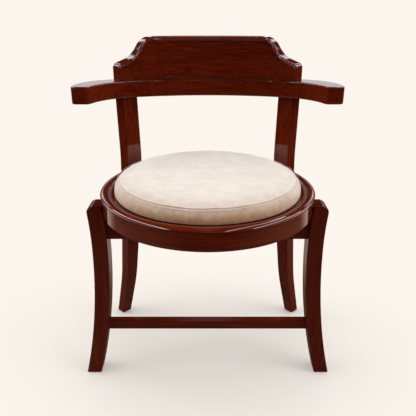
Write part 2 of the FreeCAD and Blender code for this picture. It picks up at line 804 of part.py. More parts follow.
def bow_edge(radius, front, bend, bend_radius, end):
    """Long arc from the middle and the tighter one that follows it as far as y = end."""
    turn = math.asin(bend / radius)
    centre = (0.0, front - radius)
    bend_centre = (bend - bend_radius * math.sin(turn),
                   front - radius + (radius - bend_radius) * math.cos(turn))
    last = math.acos((end - bend_centre[1]) / bend_radius)

    def arc(middle, swing, first, final):
        return [(middle[0] + swing * math.sin(angle), middle[1] + swing * math.cos(angle))
                for angle in (first, (first + final) / 2, final)]

    return arc(centre, radius, 0, turn), arc(bend_centre, bend_radius, turn, last)


def make_arm_blank():
    body = new_body("arm_right_blank")
    sketch = new_sketch(body, "arm_plan", "XY_Plane", bow_bottom)
    tip = size("arm_tip")
    inner_long, inner_bend = bow_edge(size("bow_inner_radius"), bow_front,
                                      bow_inner_bend, size("bow_inner_corner"), tip)
    outer_long, outer_bend = bow_edge(size("bow_outer_radius"), bow_back,
                                      bow_outer_bend, bow_outer_corner, tip)
    outline = [
        inner_long,
        inner_bend,
        (inner_bend[-1], outer_bend[-1]),
        outer_bend[::-1],
        outer_long[::-1],
        (outer_long[0], inner_long[0]),
    ]
    draw(sketch, outline)
    pad(body, sketch, "sizes.bow_height")
    round_edges(body, "sizes.arm_corner",
                lambda edge: edge.BoundBox.ZLength > 1
                and abs(edge.CenterOfMass.y - tip) < 0.01)
    round_edges(body, "sizes.arm_ease",
                lambda edge: edge.BoundBox.ZLength < 0.01
                and abs(edge.CenterOfMass.x) > 1)
    return body


# Crest: a curved board with S shaped shoulders

def crest_outline():
    """Right half of the outline at the crest's back face, from the foot of its end."""
    slope = math.radians(size("crest_slope_angle"))
    rise = math.radians(size("crest_rise_angle"))
    x, z = size("crest_half_width"), bow_top
    path = []

    def run(angle, length):
        nonlocal x, z
        start = (x, z)
        x -= length * math.cos(angle)
        z += length * math.sin(angle)
        path.append([start, (x, z)])

    def bend(radius, first, last):
        nonlocal x, z
        points = [(x, z)]
        hollow = 1 if last > first else -1
        for angle in ((first + last) / 2, last):
            points.append((x - hollow * radius * (math.sin(angle) - math.sin(first)),
                           z + hollow * radius * (math.cos(first) - math.cos(angle))))
        x, z = points[-1]
        path.append(points)

    run(math.pi / 2, size("crest_end_height"))
    bend(size("crest_corner"), math.pi / 2, slope)
    run(slope, size("crest_slope_run"))
    bend(size("crest_hollow"), slope, rise)
    run(rise, size("crest_rise_run"))
    left = size("overall_height") - z
    bend(left / (1 - math.cos(rise)), rise, 0.0)
    return path


def crest_section(body, name, y):
    """Outline on an upright plane. The ends flare towards the back."""
    sketch = new_sketch(body, name, "XZ_Plane", -y)
    flare = math.tan(math.radians(size("crest_flare_angle"))) / size("crest_half_width")

    def spread(point):
        x, z = point
        back = bow_centre + math.sqrt(crest_back_radius ** 2 - x ** 2)
        return x + x * flare * (y - back), z

    half = [[spread(point) for point in points] for points in crest_outline()]
    mirrored = [[(-x, z) for x, z in points] for points in half]
    last = half[-1][-1]
    first = half[0][0]
    draw(sketch, half)
    draw(sketch, [(last, (-last[0], last[1]))])
    draw(sketch, [points[::-1] for points in mirrored[::-1]])
    draw(sketch, [((-first[0], first[1]), first)])
    return sketch


def make_crest_blank():
    body = new_body("crest_rail_blank")
    front = bow_centre + crest_radius
    spare = size("crest_thickness")
    near = bow_centre + math.sqrt(crest_radius ** 2 - size("crest_half_width") ** 2) - spare
    far = front + 2 * spare
    first = crest_section(body, "crest_front_outline", near)
    last = crest_section(body, "crest_back_outline", far)
    loft = body.newObject("PartDesign::AdditiveLoft", "crest_loft")
    loft.Profile = first
    loft.Sections = [last]
    loft.Ruled = True
    body.Tip = loft
    document.recompute()
    plan = new_sketch(body, "crest_plan", "XY_Plane", bow_top)
    wide = size("crest_half_width") + 2 * spare
    for radius, clear in ((crest_radius, near - spare), (crest_back_radius, far + spare)):
        angle = math.asin(wide / radius)
        end_y = bow_centre + radius * math.cos(angle)
        draw(plan, [
            ((-wide, end_y), (0, bow_centre + radius), (wide, end_y)),
            ((wide, end_y), (wide, clear)),
            ((wide, clear), (-wide, clear)),
            ((-wide, clear), (-wide, end_y)),
        ])
    pocket(body, plan, reverse=True)

    def on_front(edge):
        for share in (0.1, 0.5, 0.9):
            first_p, last_p = edge.ParameterRange
            point = edge.valueAt(first_p + share * (last_p - first_p))
            radius = math.hypot(point.x, point.y - bow_centre)
            if abs(radius - crest_radius) > 0.05 or point.z < bow_top + 0.01:
                return False
        return True

    round_edges(body, "sizes.crest_edge", on_front)
    return body


# Fastenings

def screw(name, place, direction, radius, length, head_radius, head_height):
    """Round headed screw: place is the seat of its head, direction is where it goes."""
    shank = cylinder(name + "_shank", radius, length, place, direction)
    head_place = place - direction * size(head_height.replace("sizes.", ""))
    head = cylinder(name + "_head", head_radius, head_height, head_place, direction)
    return fuse(name, [shank, head])


def drill(name, place, direction, radius, length):
    """Hole for a shank, wider by the glue gap."""
    return cylinder(name, "%s + sizes.glue_gap" % radius, "%s + sizes.glue_gap" % length,
                    place, direction)


def wood_screw(name, place, direction, length):
    return screw(name, place, direction, "sizes.screw_radius", length,
                 "sizes.screw_head_radius", "sizes.screw_head_height")


def bow_point(angle, radius, level):
    """Point on a circle round the bow's centre, angle from straight back in degrees."""
    turn = math.radians(angle)
    return Vector(radius * math.sin(turn), bow_centre + radius * math.cos(turn), level)


# Bolts from inside the hoop into the legs

def make_leg_bolts():
    bolts, washers, holes, faces = [], [], [], []
    half = size("bolt_spacing") / 2
    seats = []
    for side in (-1, 1):
        for shift in (-half, half):
            y = leg_middle + shift
            x = math.sqrt(apron_inner ** 2 - y ** 2)
            seats.append((Vector(side * x, y, bolt_level), Vector(side, 0, 0)))
    post_bolt = (apron_bottom + rim_bottom) / 2
    for side in (-1, 1):
        outward = Vector(side * math.cos(facing), math.sin(facing), 0)
        for shift in (-half, half):
            axis = post_point(side, 0, shift, post_bolt)
            along = axis.dot(outward)
            square = axis.x ** 2 + axis.y ** 2 - along ** 2
            reach = along - math.sqrt(apron_inner ** 2 - square)
            seats.append((axis - outward * reach, outward))
    for index, (seat, outward) in enumerate(seats):
        washer_seat = seat + outward * (size("spot_face") - size("washer_thickness"))
        bolt = screw("leg_bolt_%d" % index, washer_seat, outward, "sizes.bolt_radius",
                     "sizes.bolt_length", "sizes.bolt_head_radius",
                     "sizes.bolt_head_height")
        bolts.append(bolt)
        disc_solid = cylinder("washer_disc_%d" % index, "sizes.washer_radius",
                              "sizes.washer_thickness", washer_seat, outward)
        bore = drill("washer_bore_%d" % index, washer_seat, outward, "sizes.bolt_radius",
                     "sizes.washer_thickness")
        washers.append(cut("washer_%d" % index, disc_solid, [bore]))
        holes.append(drill("leg_bolt_hole_%d" % index, washer_seat, outward,
                           "sizes.bolt_radius", "sizes.bolt_length"))
        faces.append(cylinder("spot_face_%d" % index,
                              "sizes.washer_radius + sizes.glue_gap",
                              "2 * sizes.washer_thickness",
                              washer_seat - outward * size("washer_thickness"), outward))
    return bolts, washers, holes, faces


# Blocks inside the hoop that hold the seat board down

def make_seat_blocks():
    blocks, board_screws, block_screws, board_holes, block_holes = [], [], [], [], []
    thickness = size("seat_block_thickness")
    bottom = rim_bottom - size("seat_block_height")
    inner = cylinder("hoop_bore", "%g" % apron_inner, "sizes.rim_top")
    for index, turn in enumerate(SEAT_BLOCK_ANGLES):
        outward = Vector(math.cos(math.radians(turn)), math.sin(math.radians(turn)), 0)
        middle = outward * (apron_inner - thickness / 2) + Vector(0, 0, bottom)
        blank = block("seat_block_blank_%d" % index, "sizes.seat_block_thickness",
                      "sizes.seat_block_length", "sizes.seat_block_height", middle, turn)
        fitted = document.addObject("Part::Common", "seat_block_fitted_%d" % index)
        fitted.Base = blank
        fitted.Tool = inner
        up = Vector(0, 0, 1)
        screw_place = middle - outward * size("seat_screw_shift")
        board_screws.append(wood_screw("seat_screw_%d" % index, screw_place, up,
                                       "sizes.seat_screw_length"))
        board_hole = drill("seat_screw_hole_%d" % index, screw_place, up,
                           "sizes.screw_radius", "sizes.seat_screw_length")
        board_holes.append(board_hole)
        own_holes = [board_hole]
        across = Vector(-outward.y, outward.x, 0) * (size("block_screw_spacing") / 2)
        for side in (-1, 1):
            place = (outward * (apron_inner - thickness) + across * side
                     + Vector(0, 0, bottom + size("seat_block_height") / 2))
            name = "%d_%d" % (index, side + 1)
            block_screws.append(wood_screw("block_screw_" + name, place, outward,
                                           "sizes.block_screw_length"))
            hole = drill("block_screw_hole_" + name, place, outward,
                         "sizes.screw_radius", "sizes.block_screw_length")
            block_holes.append(hole)
            own_holes.append(hole)
        blocks.append(cut("seat_block_%d" % index, fitted, own_holes))
    return blocks, board_screws, block_screws, board_holes, block_holes


def make_glides():
    """Round glides, each with a nail up into its foot."""
    front_x = half_width - size("leg_width") / 2
    rear_out = sweep + size("rear_foot") / 2
    places = [Vector(side * front_x, leg_middle, 0) for side in (-1, 1)]
    places += [post_point(side, rear_out, size("foot_inward"), 0) for side in (-1, 1)]
    glides, holes = [], []
    for index, place in enumerate(places):
        foot = place + Vector(0, 0, glide_height)
        base = cylinder("glide_disc_%d" % index, "sizes.glide_radius", "sizes.glide_height",
                        place)
        nail = cylinder("glide_nail_%d" % index, "sizes.nail_radius",
                        "sizes.nail_length + sizes.glide_height", place)
        glides.append(fuse("glide_%d" % index, [base, nail]))
        holes.append(drill("glide_hole_%d" % index, foot, Vector(0, 0, 1),
                           "sizes.nail_radius", "sizes.nail_length"))
    return glides, holes


def make_dowels():
    """Dowels of the bow, the posts and the crest, each with its hole."""
    middle_radius = (crest_radius + crest_back_radius) / 2
    result = {}

    def add(group_name, index, place, direction, radius):
        name = "%s_%d" % (group_name, index)
        start = place - direction * (size("dowel_length") / 2)
        pins, holes = result.setdefault(group_name, ([], []))
        pins.append(cylinder(name, radius, "sizes.dowel_length", start, direction))
        gap = direction * size("glue_gap")
        holes.append(cylinder(name + "_hole", radius + " + sizes.glue_gap",
                              "sizes.dowel_length + 2 * sizes.glue_gap", start - gap,
                              direction))

    level = bow_bottom + size("bow_height") / 2
    bow_middle = bow_front + size("bow_width") / 2
    for index, side in enumerate((-1, 1)):
        y = bow_middle + side * size("arm_dowel_spacing") / 2
        add("arm_joint_dowels", index, Vector(0, y, level), Vector(1, 0, 0),
            "sizes.dowel_radius")
    crest_places = [side * x for x in (size("crest_dowel_inner"), size("crest_dowel_outer"))
                    for side in (-1, 1)]
    for index, x in enumerate(crest_places):
        angle = math.degrees(math.asin(x / middle_radius))
        add("crest_dowels", index, bow_point(angle, middle_radius, bow_top),
            Vector(0, 0, 1), "sizes.dowel_radius")
    for index, (side, shift) in enumerate((s, k) for s in (-1, 1) for k in (-1, 1)):
        place = post_point(side, size("post_lean") + size("post_dowel_inset"),
                           size("post_inward") + shift * size("post_dowel_spacing") / 2,
                           bow_bottom)
        add("post_dowels", index, place, Vector(0, 0, 1), "sizes.post_dowel_radius")
    return result


def make_crest_screws():
    """Screws up through the bow into the crest, with counterbores under the bow."""
    screws, holes, sinks = [], [], []
    middle_radius = (crest_radius + crest_back_radius) / 2
    up = Vector(0, 0, 1)
    for index, side in enumerate((-1, 1)):
        angle = side * math.degrees(math.asin(size("crest_screw_place") / middle_radius))
        place = bow_point(angle, middle_radius, bow_bottom + size("crest_screw_sink"))
        screws.append(wood_screw("crest_screw_%d" % index, place, up,
                                 "sizes.crest_screw_length"))
        holes.append(drill("crest_screw_hole_%d" % index, place, up,
                           "sizes.screw_radius", "sizes.crest_screw_length"))
        mouth = place - up * size("crest_screw_sink")
        sinks.append(cylinder("crest_screw_sink_%d" % index,
                              "sizes.screw_head_radius + sizes.glue_gap",
                              "sizes.crest_screw_sink", mouth))
    return screws, holes, sinks


def make_rim_dowels():
    """Short dowels between hoop and rim, with their holes."""
    pins, holes = [], []
    radius = (apron_inner + step_radius) / 2
    bottom = rim_bottom + size("rim_dowel_rise") - size("rim_dowel_length")
    for index, (place, _) in enumerate(ring_places(RIM_DOWEL_COUNT, radius, bottom)):
        pins.append(cylinder("rim_dowel_%d" % index, "sizes.rim_dowel_radius",
                             "sizes.rim_dowel_length", place))
        gap = Vector(0, 0, size("glue_gap"))
        holes.append(cylinder("rim_dowel_hole_%d" % index,
                              "sizes.rim_dowel_radius + sizes.glue_gap",
                              "sizes.rim_dowel_length + 2 * sizes.glue_gap", place - gap))
    return pins, holes


# Assembly

rim_blank = make_seat_rim()
apron_blank = make_seat_apron()
front_blank = make_front_leg_blank()
rear_blank = make_rear_leg_blank()
arm_blank = make_arm_blank()
crest_blank = make_crest_blank()

hoop_housing = cylinder("hoop_housing", "sizes.rim_radius - sizes.rim_overhang",
                        "sizes.apron_height + sizes.rim_thickness - sizes.lip_thickness",
                        Vector(0, 0, apron_bottom))
rim_housing = cylinder("rim_housing", "sizes.rim_radius", "sizes.lip_thickness",
                       Vector(0, 0, lip_bottom))

rail_level = apron_bottom - size("rail_height")
front_rail, front_rail_mortise = make_front_crosspiece(
    "front_rail", "rail_thickness", "rail_height", rail_level, "tenon_shoulder")
rear_rail, rear_rail_mortise = make_rear_rail(rail_level)
front_stretcher, stretcher_mortise = make_front_crosspiece(
    "front_stretcher", "stretcher_size", "stretcher_size", size("stretcher_bottom"),
    "stretcher_tenon_shoulder")

# The back corner of each post is flush with the back of the bow.
ABOVE_KNEE = "sizes.overall_height - sizes.crest_height - sizes.post_knee"
behind = block("space_behind", "2 * sizes.overall_width", "sizes.overall_depth", ABOVE_KNEE,
               Vector(0, bow_back, size("post_knee")))
bow_line = cylinder("bow_line", "sizes.bow_outer_radius - sizes.arm_ease", ABOVE_KNEE,
                    Vector(0, bow_back - size("bow_outer_radius"), size("post_knee")))
behind_bow = cut("behind_bow", behind, [bow_line])

leg_bolts, leg_washers, leg_bolt_holes, spot_faces = make_leg_bolts()
glides, glide_holes = make_glides()
dowels = make_dowels()
crest_screws, crest_screw_holes, crest_screw_sinks = make_crest_screws()
rim_dowels, rim_dowel_holes = make_rim_dowels()
(seat_blocks, seat_screws, block_screws,
 seat_screw_holes, block_screw_holes) = make_seat_blocks()
staples, staple_slots = make_staples()

pieces = [
    cut("seat_rim", rim_blank, rim_dowel_holes + seat_screw_holes),
    cut("seat_apron", apron_blank, rim_dowel_holes + leg_bolt_holes + spot_faces
        + block_screw_holes),
    cut("seat_board", disc("seat_board_blank", BOARD_RADIUS, "sizes.board_thickness",
                           board_bottom), seat_screw_holes + staple_slots),
    cut("seat_dust_cover", disc("dust_cover_blank", DUST_RADIUS,
                                "sizes.dust_cover_thickness", dust_bottom), staple_slots),
    make_foam(),
    make_cover_top(),
    cut("seat_cover_band", make_cover_band(), seat_screw_holes),
    front_rail,
    rear_rail,
    front_stretcher,
    cut("crest_rail", crest_blank, dowels["crest_dowels"][1] + crest_screw_holes),
    group("cover_staples", staples),
    group("leg_bolts", leg_bolts),
    group("leg_bolt_washers", leg_washers),
    group("floor_glides", glides),
    group("crest_screws", crest_screws),
    group("rim_dowels", rim_dowels),
    group("seat_blocks", seat_blocks),
    group("seat_screws", seat_screws),
    group("block_screws", block_screws),
    group("arm_joint_dowels", dowels["arm_joint_dowels"][0]),
    group("crest_dowels", dowels["crest_dowels"][0]),
    group("post_dowels", dowels["post_dowels"][0]),
]
right_hand = [
    cut("front_leg_right", front_blank,
        [hoop_housing, front_rail_mortise, stretcher_mortise]
        + on_right(leg_bolt_holes + glide_holes)),
    cut("rear_leg_right", rear_blank,
        [hoop_housing, rim_housing, rear_rail_mortise, behind_bow]
        + on_right(leg_bolt_holes + glide_holes + dowels["post_dowels"][1])),
    cut("arm_right", arm_blank,
        on_right(dowels["arm_joint_dowels"][1] + dowels["crest_dowels"][1]
                 + dowels["post_dowels"][1] + crest_screw_holes + crest_screw_sinks)),
]
pieces += right_hand

# The whole chair is centred on its depth, so that the origin is under its middle.
for piece in pieces:
    piece.setExpression("Placement.Base.y", "sizes.rim_radius - sizes.overall_depth / 2")
pieces += [mirror(piece.Label.replace("right", "left"), piece) for piece in right_hand]

document.recompute()

# Checks and export

for feature in document.Objects:
    for bad in ("Invalid", "Error"):
        if bad in feature.State:
            raise ValueError("%s did not build" % feature.Label)
os.makedirs("parts", exist_ok=True)
for piece in pieces:
    shape = piece.Shape
    if shape.isNull() or not shape.isValid():
        raise ValueError("%s has no valid shape" % piece.Label)
    print(piece.Label, len(shape.Solids), round(shape.Volume, 1))
for piece in pieces:
    piece.Shape.exportStep("parts/%s.step" % piece.Label)
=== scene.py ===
"""Round-seat captain's chair in dark mahogany with a beige suede cushion."""

import math

import bmesh
import bpy
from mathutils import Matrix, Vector, kdtree
from mathutils.bvhtree import BVHTree


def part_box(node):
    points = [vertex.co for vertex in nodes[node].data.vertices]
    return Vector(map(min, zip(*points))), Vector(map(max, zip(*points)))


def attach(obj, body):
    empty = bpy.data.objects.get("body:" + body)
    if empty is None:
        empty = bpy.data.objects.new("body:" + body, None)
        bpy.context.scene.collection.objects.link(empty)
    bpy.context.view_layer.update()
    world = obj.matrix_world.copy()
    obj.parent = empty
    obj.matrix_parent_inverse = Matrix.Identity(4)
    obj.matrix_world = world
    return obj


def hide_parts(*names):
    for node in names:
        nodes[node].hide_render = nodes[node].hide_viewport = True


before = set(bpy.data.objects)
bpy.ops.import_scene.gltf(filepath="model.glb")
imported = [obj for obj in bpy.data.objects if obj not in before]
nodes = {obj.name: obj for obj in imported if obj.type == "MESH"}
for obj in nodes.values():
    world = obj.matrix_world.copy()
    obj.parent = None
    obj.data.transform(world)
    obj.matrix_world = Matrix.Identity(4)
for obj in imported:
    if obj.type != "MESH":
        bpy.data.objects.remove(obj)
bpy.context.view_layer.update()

# Places read from the frame, in metres

RIM_LOW, RIM_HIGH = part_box("seat_rim")
BAND_LOW, BAND_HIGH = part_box("seat_cover_band")
TOP_LOW, TOP_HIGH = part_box("seat_cover_top")
CREST_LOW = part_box("crest_rail")[0]
CLOTH_LOW, CLOTH_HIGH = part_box("seat_dust_cover")

SEAT_Y = (RIM_LOW.y + RIM_HIGH.y) / 2
RIM_RADIUS = (RIM_HIGH.x - RIM_LOW.x) / 2
RIM_TOP = RIM_HIGH.z
PAD_RADIUS = (BAND_HIGH.x - BAND_LOW.x) / 2     # widest place of the cushion
PAD_FOOT = PAD_RADIUS - 0.003                   # radius where it stands on the rim
PAD_BOTTOM = BAND_LOW.z
SEAM_RADIUS = (TOP_HIGH.x - TOP_LOW.x) / 2
SEAM_LEVEL = BAND_HIGH.z + 0.001
PAD_TOP = TOP_HIGH.z

# Sizes of what only the scene makes, in metres

BEVEL_WIDTH = 0.006         # bevel round the cushion's foot
BEVEL_HEIGHT = 0.002
SLACK = 0.0020              # how much lower the cover is before it is filled
SWELL_CAP = 0.005           # most that the filling pushes the cover out
SEAM_DEPTH = 0.0013         # how far the seam is drawn in
SEAM_SPREAD = 0.0013
SEAM_REACH = 0.03           # the seam shapes the cover no further in than this
SEAM_WANDER = (0.0003, 0.0002)  # long and short waves of the seam's height
FOLD_HEIGHT = 0.0010        # turned cloth beside the seam
FOLD_PLACE = 0.0028
FOLD_SPREAD = 0.0012
LOWER_FOLD_SPREAD = 1.6 * FOLD_SPREAD   # the fold under the seam is wider
LOWER_FOLD_SHARE = 0.6                  # and less high
PUCKER_HEIGHT = 0.0003
PUCKERS = 64                # round the cushion
SHADE_BELOW = 0.018         # the side's painted shade is full this far below the seam
SHADE_ABOVE = 0.015         # and gone this far above it
THREAD_RADIUS = 0.00045
THREAD_PROUD = 0.0011       # how far the stitches stand out of the drawn-in seam
THREAD_LOW = 0.0002         # how far they are below its middle
STITCH_LENGTH = 0.0042
STITCH_PITCH = 0.0056
BEAD_RADIUS = 0.0018
JOINT_SHADOW_RADIUS = 0.0008       # painted shadow line between the crest and the bow
QUIRK_SHADOW_RADIUS = 0.0006       # painted shadow line on the inner side of the bead, for the shade of a quirk
MOULDING_SPACING = 0.002    # between the points that a moulding follows
FOOT_LAYER = 0.001          # edges of the crest this near its foot belong to the foot
CLOTH_SAG = 0.0015          # of the dust cloth in its middle
CLOTH_BULGE = 0.0002        # of its edge

# Fineness of the meshes

RIM_STEPS = 288             # faces round the turned rim
CUSHION_STEPS = 400         # faces round the cushion
FOOT_ROWS = 6               # rows of faces under the cushion
SIDE_ROWS = 44              # rows of faces up the cushion's side
CROWN_ROWS = 60             # rows of faces over its top
COARSE_STEPS = 128          # faces round its simulated cover and round the dust cloth
COARSE_SIDE_ROWS = 8
COARSE_CROWN_ROWS = 12
SAG_ROWS = 12               # rows of faces under the dust cloth
MOULDING_SIDES = 16
SHARP_ANGLE = 35            # degrees between faces that meet in a sharp edge
FLAT_ANGLE = 5              # degrees between faces of one even surface
JOINED_ANGLE = 0.4          # degrees between faces that are made one
FRONTWARD = -0.7            # y of the normal of a face that looks to the front
TINY = 1e-6                 # distance that counts as none

# Cushion's crown and filling

CROWN_FULLNESS = 5          # higher keeps the crown level further out
CROWN_ROUNDNESS = 0.6       # lower turns it down more steeply at the seam
VOXEL = 0.004               # mesh size of the simulated cover
COVER_MASS = 0.3
COVER_STIFFNESS = 12.0
COVER_BENDING = 0.6
FILLING_PRESSURE = 3.0
FILLING_FRAMES = 20
HELD_HEIGHT = 0.003         # the cover's foot, which stays in place
SWELL_NEIGHBOURS = 60       # points of the coarse cover that move one of the fine one

# Photograph's camera: lens on a 36 mm wide picture, place and tilt

LENS = 42.51
SENSOR = 36.0
CAMERA_SIDE = 0.0008
CAMERA_BACK = 1.000         # in front of the seat's middle
CAMERA_HEIGHT = 0.8258
CAMERA_PITCH = 67.626       # degrees, 90 looks level

# Floor

BACKGROUND = (0.973, 0.914, 0.847)
FLOOR_LEVEL = 0.77              # floor's own colour, as a share of the background's
FLOOR_HALF = 30.0
FADE_MIDDLE = (0.0, 0.13, 0.0)  # the floor fades into the background round this place
FADE_START = (0.15, 0.12)       # distance, and share of the background there
FADE_END = (0.75, 1.0)
FLOOR_BOUNCE = (0.26, 0.23, 0.20)   # its colour for the light that it throws back

# Floor as the lacquer mirrors it, in metres from the chair's middle

GLOW = (1.10, 0.88, 0.74)       # behind the chair
GLOW_START = (0.25, 0.60)       # y where it fades in
GLOW_END = (0.85, 1.25)         # and out
DIM_NEAR = (0.19, 0.155, 0.13)  # elsewhere
DIM_FAR = (0.008, 0.006, 0.005)
DIM_FADE = (-1.6, -0.4)         # y from far to near
SIDE_FADE = (1.1, 1.4)          # distance sideways where both end
WEAK_HALF = (0.3, 0.8)          # distance sideways where both rise to full strength
WEAK_SHARE = 0.4                # strength nearer the middle


# Shader helpers

MIX_FACTOR, MIX_FIRST, MIX_SECOND = 0, 6, 7     # inputs of a Mix node set to colours
MIX_RESULT = 2                                  # and its output


def new_material(name):
    """Material with an empty node tree but for its output and Principled BSDF."""
    material = bpy.data.materials.new(name)
    material.use_nodes = True
    tree = material.node_tree
    tree.nodes.clear()
    output = tree.nodes.new("ShaderNodeOutputMaterial")
    shader = tree.nodes.new("ShaderNodeBsdfPrincipled")
    tree.links.new(shader.outputs["BSDF"], output.inputs["Surface"])
    return material, tree, shader


def add(tree, kind, **settings):
    """Node with its properties and unlinked inputs set."""
    node = tree.nodes.new(kind)
    for key, value in settings.items():
        if hasattr(node, key):
            setattr(node, key, value)
        else:
            node.inputs[key.replace("_", " ")].default_value = value
    return node


def math_node(tree, operation, first, second=None):
    """Math node whose inputs are sockets or numbers."""
    node = tree.nodes.new("ShaderNodeMath")
    node.operation = operation
    for socket, value in zip(node.inputs, (first, second)):
        if value is None:
            continue
        if isinstance(value, (int, float)):
            socket.default_value = value
        else:
            tree.links.new(value, socket)
    return node.outputs["Value"]


def times(tree, first, second):
    return math_node(tree, "MULTIPLY", first, second)


def plus(tree, first, second):
    return math_node(tree, "ADD", first, second)


def one_minus(tree, value):
    return math_node(tree, "SUBTRACT", 1.0, value)


def mix_colour(tree, share, first, second, blend="MIX"):
    """Colour mix whose inputs are sockets, numbers or colours."""
    node = tree.nodes.new("ShaderNodeMix")
    node.data_type = "RGBA"
    node.blend_type = blend
    for index, value in ((MIX_FACTOR, share), (MIX_FIRST, first), (MIX_SECOND, second)):
        if isinstance(value, (int, float)):
            node.inputs[index].default_value = value
        elif isinstance(value, tuple):
            node.inputs[index].default_value = (*value, 1.0)
        else:
            tree.links.new(value, node.inputs[index])
    return node.outputs[MIX_RESULT]


def ramp(tree, value, stops):
    """Colour ramp with stops of (place, brightness)."""
    node = tree.nodes.new("ShaderNodeValToRGB")
    elements = node.color_ramp.elements
    while len(elements) < len(stops):
        elements.new(0.5)
    for element, (place, level) in zip(elements, stops):
        element.position = place
        element.color = (level, level, level, 1.0)
    tree.links.new(value, node.inputs["Fac"])
    return node.outputs["Color"]


def rise(tree, value, low, high):
    """0 below low, 1 above high, smooth between."""
    node = tree.nodes.new("ShaderNodeMapRange")
    node.interpolation_type = "SMOOTHSTEP"
    tree.links.new(value, node.inputs["Value"])
    node.inputs["From Min"].default_value = low
    node.inputs["From Max"].default_value = high
    return node.outputs["Result"]


def noise(tree, vector, scale, detail=4.0, roughness=0.55):
    """Noise value at a vector socket."""
    node = add(tree, "ShaderNodeTexNoise", Scale=scale, Detail=detail, Roughness=roughness)
    tree.links.new(vector, node.inputs["Vector"])
    return node.outputs["Fac"]


def stretched(tree, vector, factors):
    """Vector times three factors."""
    node = add(tree, "ShaderNodeMapping", vector_type="POINT")
    node.inputs["Scale"].default_value = factors
    tree.links.new(vector, node.inputs["Vector"])
    return node.outputs["Vector"]


def object_place(tree):
    return tree.nodes.new("ShaderNodeTexCoord").outputs["Object"]


def split(tree, vector):
    """X, Y and Z of a vector."""
    node = tree.nodes.new("ShaderNodeSeparateXYZ")
    tree.links.new(vector, node.inputs["Vector"])
    return node.outputs


def join(tree, x, y, z):
    """Vector from three sockets, of which any may be None."""
    node = tree.nodes.new("ShaderNodeCombineXYZ")
    for socket, value in zip(node.inputs, (x, y, z)):
        if value is not None:
            tree.links.new(value, socket)
    return node.outputs["Vector"]


def place_group(tree, group, vector, **values):
    """Node of a shared effect with its vector and values."""
    node = tree.nodes.new("ShaderNodeGroup")
    node.node_tree = group
    tree.links.new(vector, node.inputs["Vector"])
    for key, value in values.items():
        node.inputs[key].default_value = value
    return node


def add_relief(tree, shader, height, strength, distance):
    """Fine relief from a height socket."""
    relief = add(tree, "ShaderNodeBump", Strength=strength, Distance=distance)
    tree.links.new(height, relief.inputs["Height"])
    tree.links.new(relief.outputs["Normal"], shader.inputs["Normal"])


def new_group(name, inputs, outputs):
    """Shader node group with its sockets, and its input and output nodes."""
    group = bpy.data.node_groups.new(name, "ShaderNodeTree")
    for socket_name, kind, default in inputs:
        socket = group.interface.new_socket(socket_name, in_out="INPUT", socket_type=kind)
        if default is not None:
            socket.default_value = default
    for socket_name, kind in outputs:
        group.interface.new_socket(socket_name, in_out="OUTPUT", socket_type=kind)
    return group, group.nodes.new("NodeGroupInput"), group.nodes.new("NodeGroupOutput")


# Shared effects

def make_grain_group():
    """Wood grain whose fibres run along the vector's X."""
    group, source, result = new_group(
        "wood_grain",
        [("Vector", "NodeSocketVector", None),
         ("Dark", "NodeSocketColor", (0.02, 0.01, 0.005, 1)),
         ("Middle", "NodeSocketColor", (0.1, 0.05, 0.02, 1)),
         ("Light", "NodeSocketColor", (0.2, 0.1, 0.05, 1)),
         ("Pores", "NodeSocketFloat", 0.5)],
        [("Color", "NodeSocketColor"), ("Gloss Loss", "NodeSocketFloat"),
         ("Height", "NodeSocketFloat")])
    vector = source.outputs["Vector"]
    sway = noise(group, stretched(group, vector, (2.0, 9.0, 9.0)), 1.0, 2.0)
    bent = group.nodes.new("ShaderNodeVectorMath")
    bent.operation = "MULTIPLY_ADD"
    group.links.new(join(group, None, sway, sway), bent.inputs[0])
    bent.inputs[1].default_value = (0.0, 0.018, 0.018)
    group.links.new(vector, bent.inputs[2])
    flow = bent.outputs["Vector"]
    bands = noise(group, stretched(group, flow, (2.4, 34.0, 34.0)), 1.0, 5.0, 0.62)
    streaks = noise(group, stretched(group, flow, (9.0, 260.0, 260.0)), 1.0, 3.0, 0.6)
    pores = noise(group, stretched(group, flow, (55.0, 1100.0, 1100.0)), 1.0, 1.0, 0.4)
    band_share = ramp(group, bands, [(0.36, 0.0), (0.66, 1.0)])
    streak_share = ramp(group, streaks, [(0.42, 0.0), (0.68, 1.0)])
    pore_share = ramp(group, pores, [(0.60, 0.0), (0.70, 1.0)])
    toned = mix_colour(group, band_share, source.outputs["Dark"], source.outputs["Middle"])
    lit = mix_colour(group, times(group, streak_share, 0.55), toned, source.outputs["Light"])
    pore_mask = times(group, pore_share, source.outputs["Pores"])
    final = mix_colour(group, pore_mask, lit, source.outputs["Dark"])
    group.links.new(final, result.inputs["Color"])
    group.links.new(times(group, streak_share, 0.5), result.inputs["Gloss Loss"])
    height = math_node(group, "SUBTRACT", times(group, streak_share, 0.4), pore_mask)
    group.links.new(height, result.inputs["Height"])
    return group


def make_wear_group():
    """Soft clouds of handling and dust, as a mask."""
    group, source, result = new_group(
        "handling_marks",
        [("Vector", "NodeSocketVector", None), ("Amount", "NodeSocketFloat", 0.5)],
        [("Mask", "NodeSocketFloat")])
    clouds = noise(group, source.outputs["Vector"], 14.0, 5.0, 0.6)
    specks = noise(group, source.outputs["Vector"], 240.0, 2.0, 0.7)
    soft = ramp(group, clouds, [(0.42, 0.0), (0.75, 1.0)])
    fine = ramp(group, specks, [(0.62, 0.0), (0.80, 1.0)])
    both = plus(group, soft, times(group, fine, 0.35))
    group.links.new(times(group, both, source.outputs["Amount"]), result.inputs["Mask"])
    return group


GRAIN = make_grain_group()
MARKS = make_wear_group()


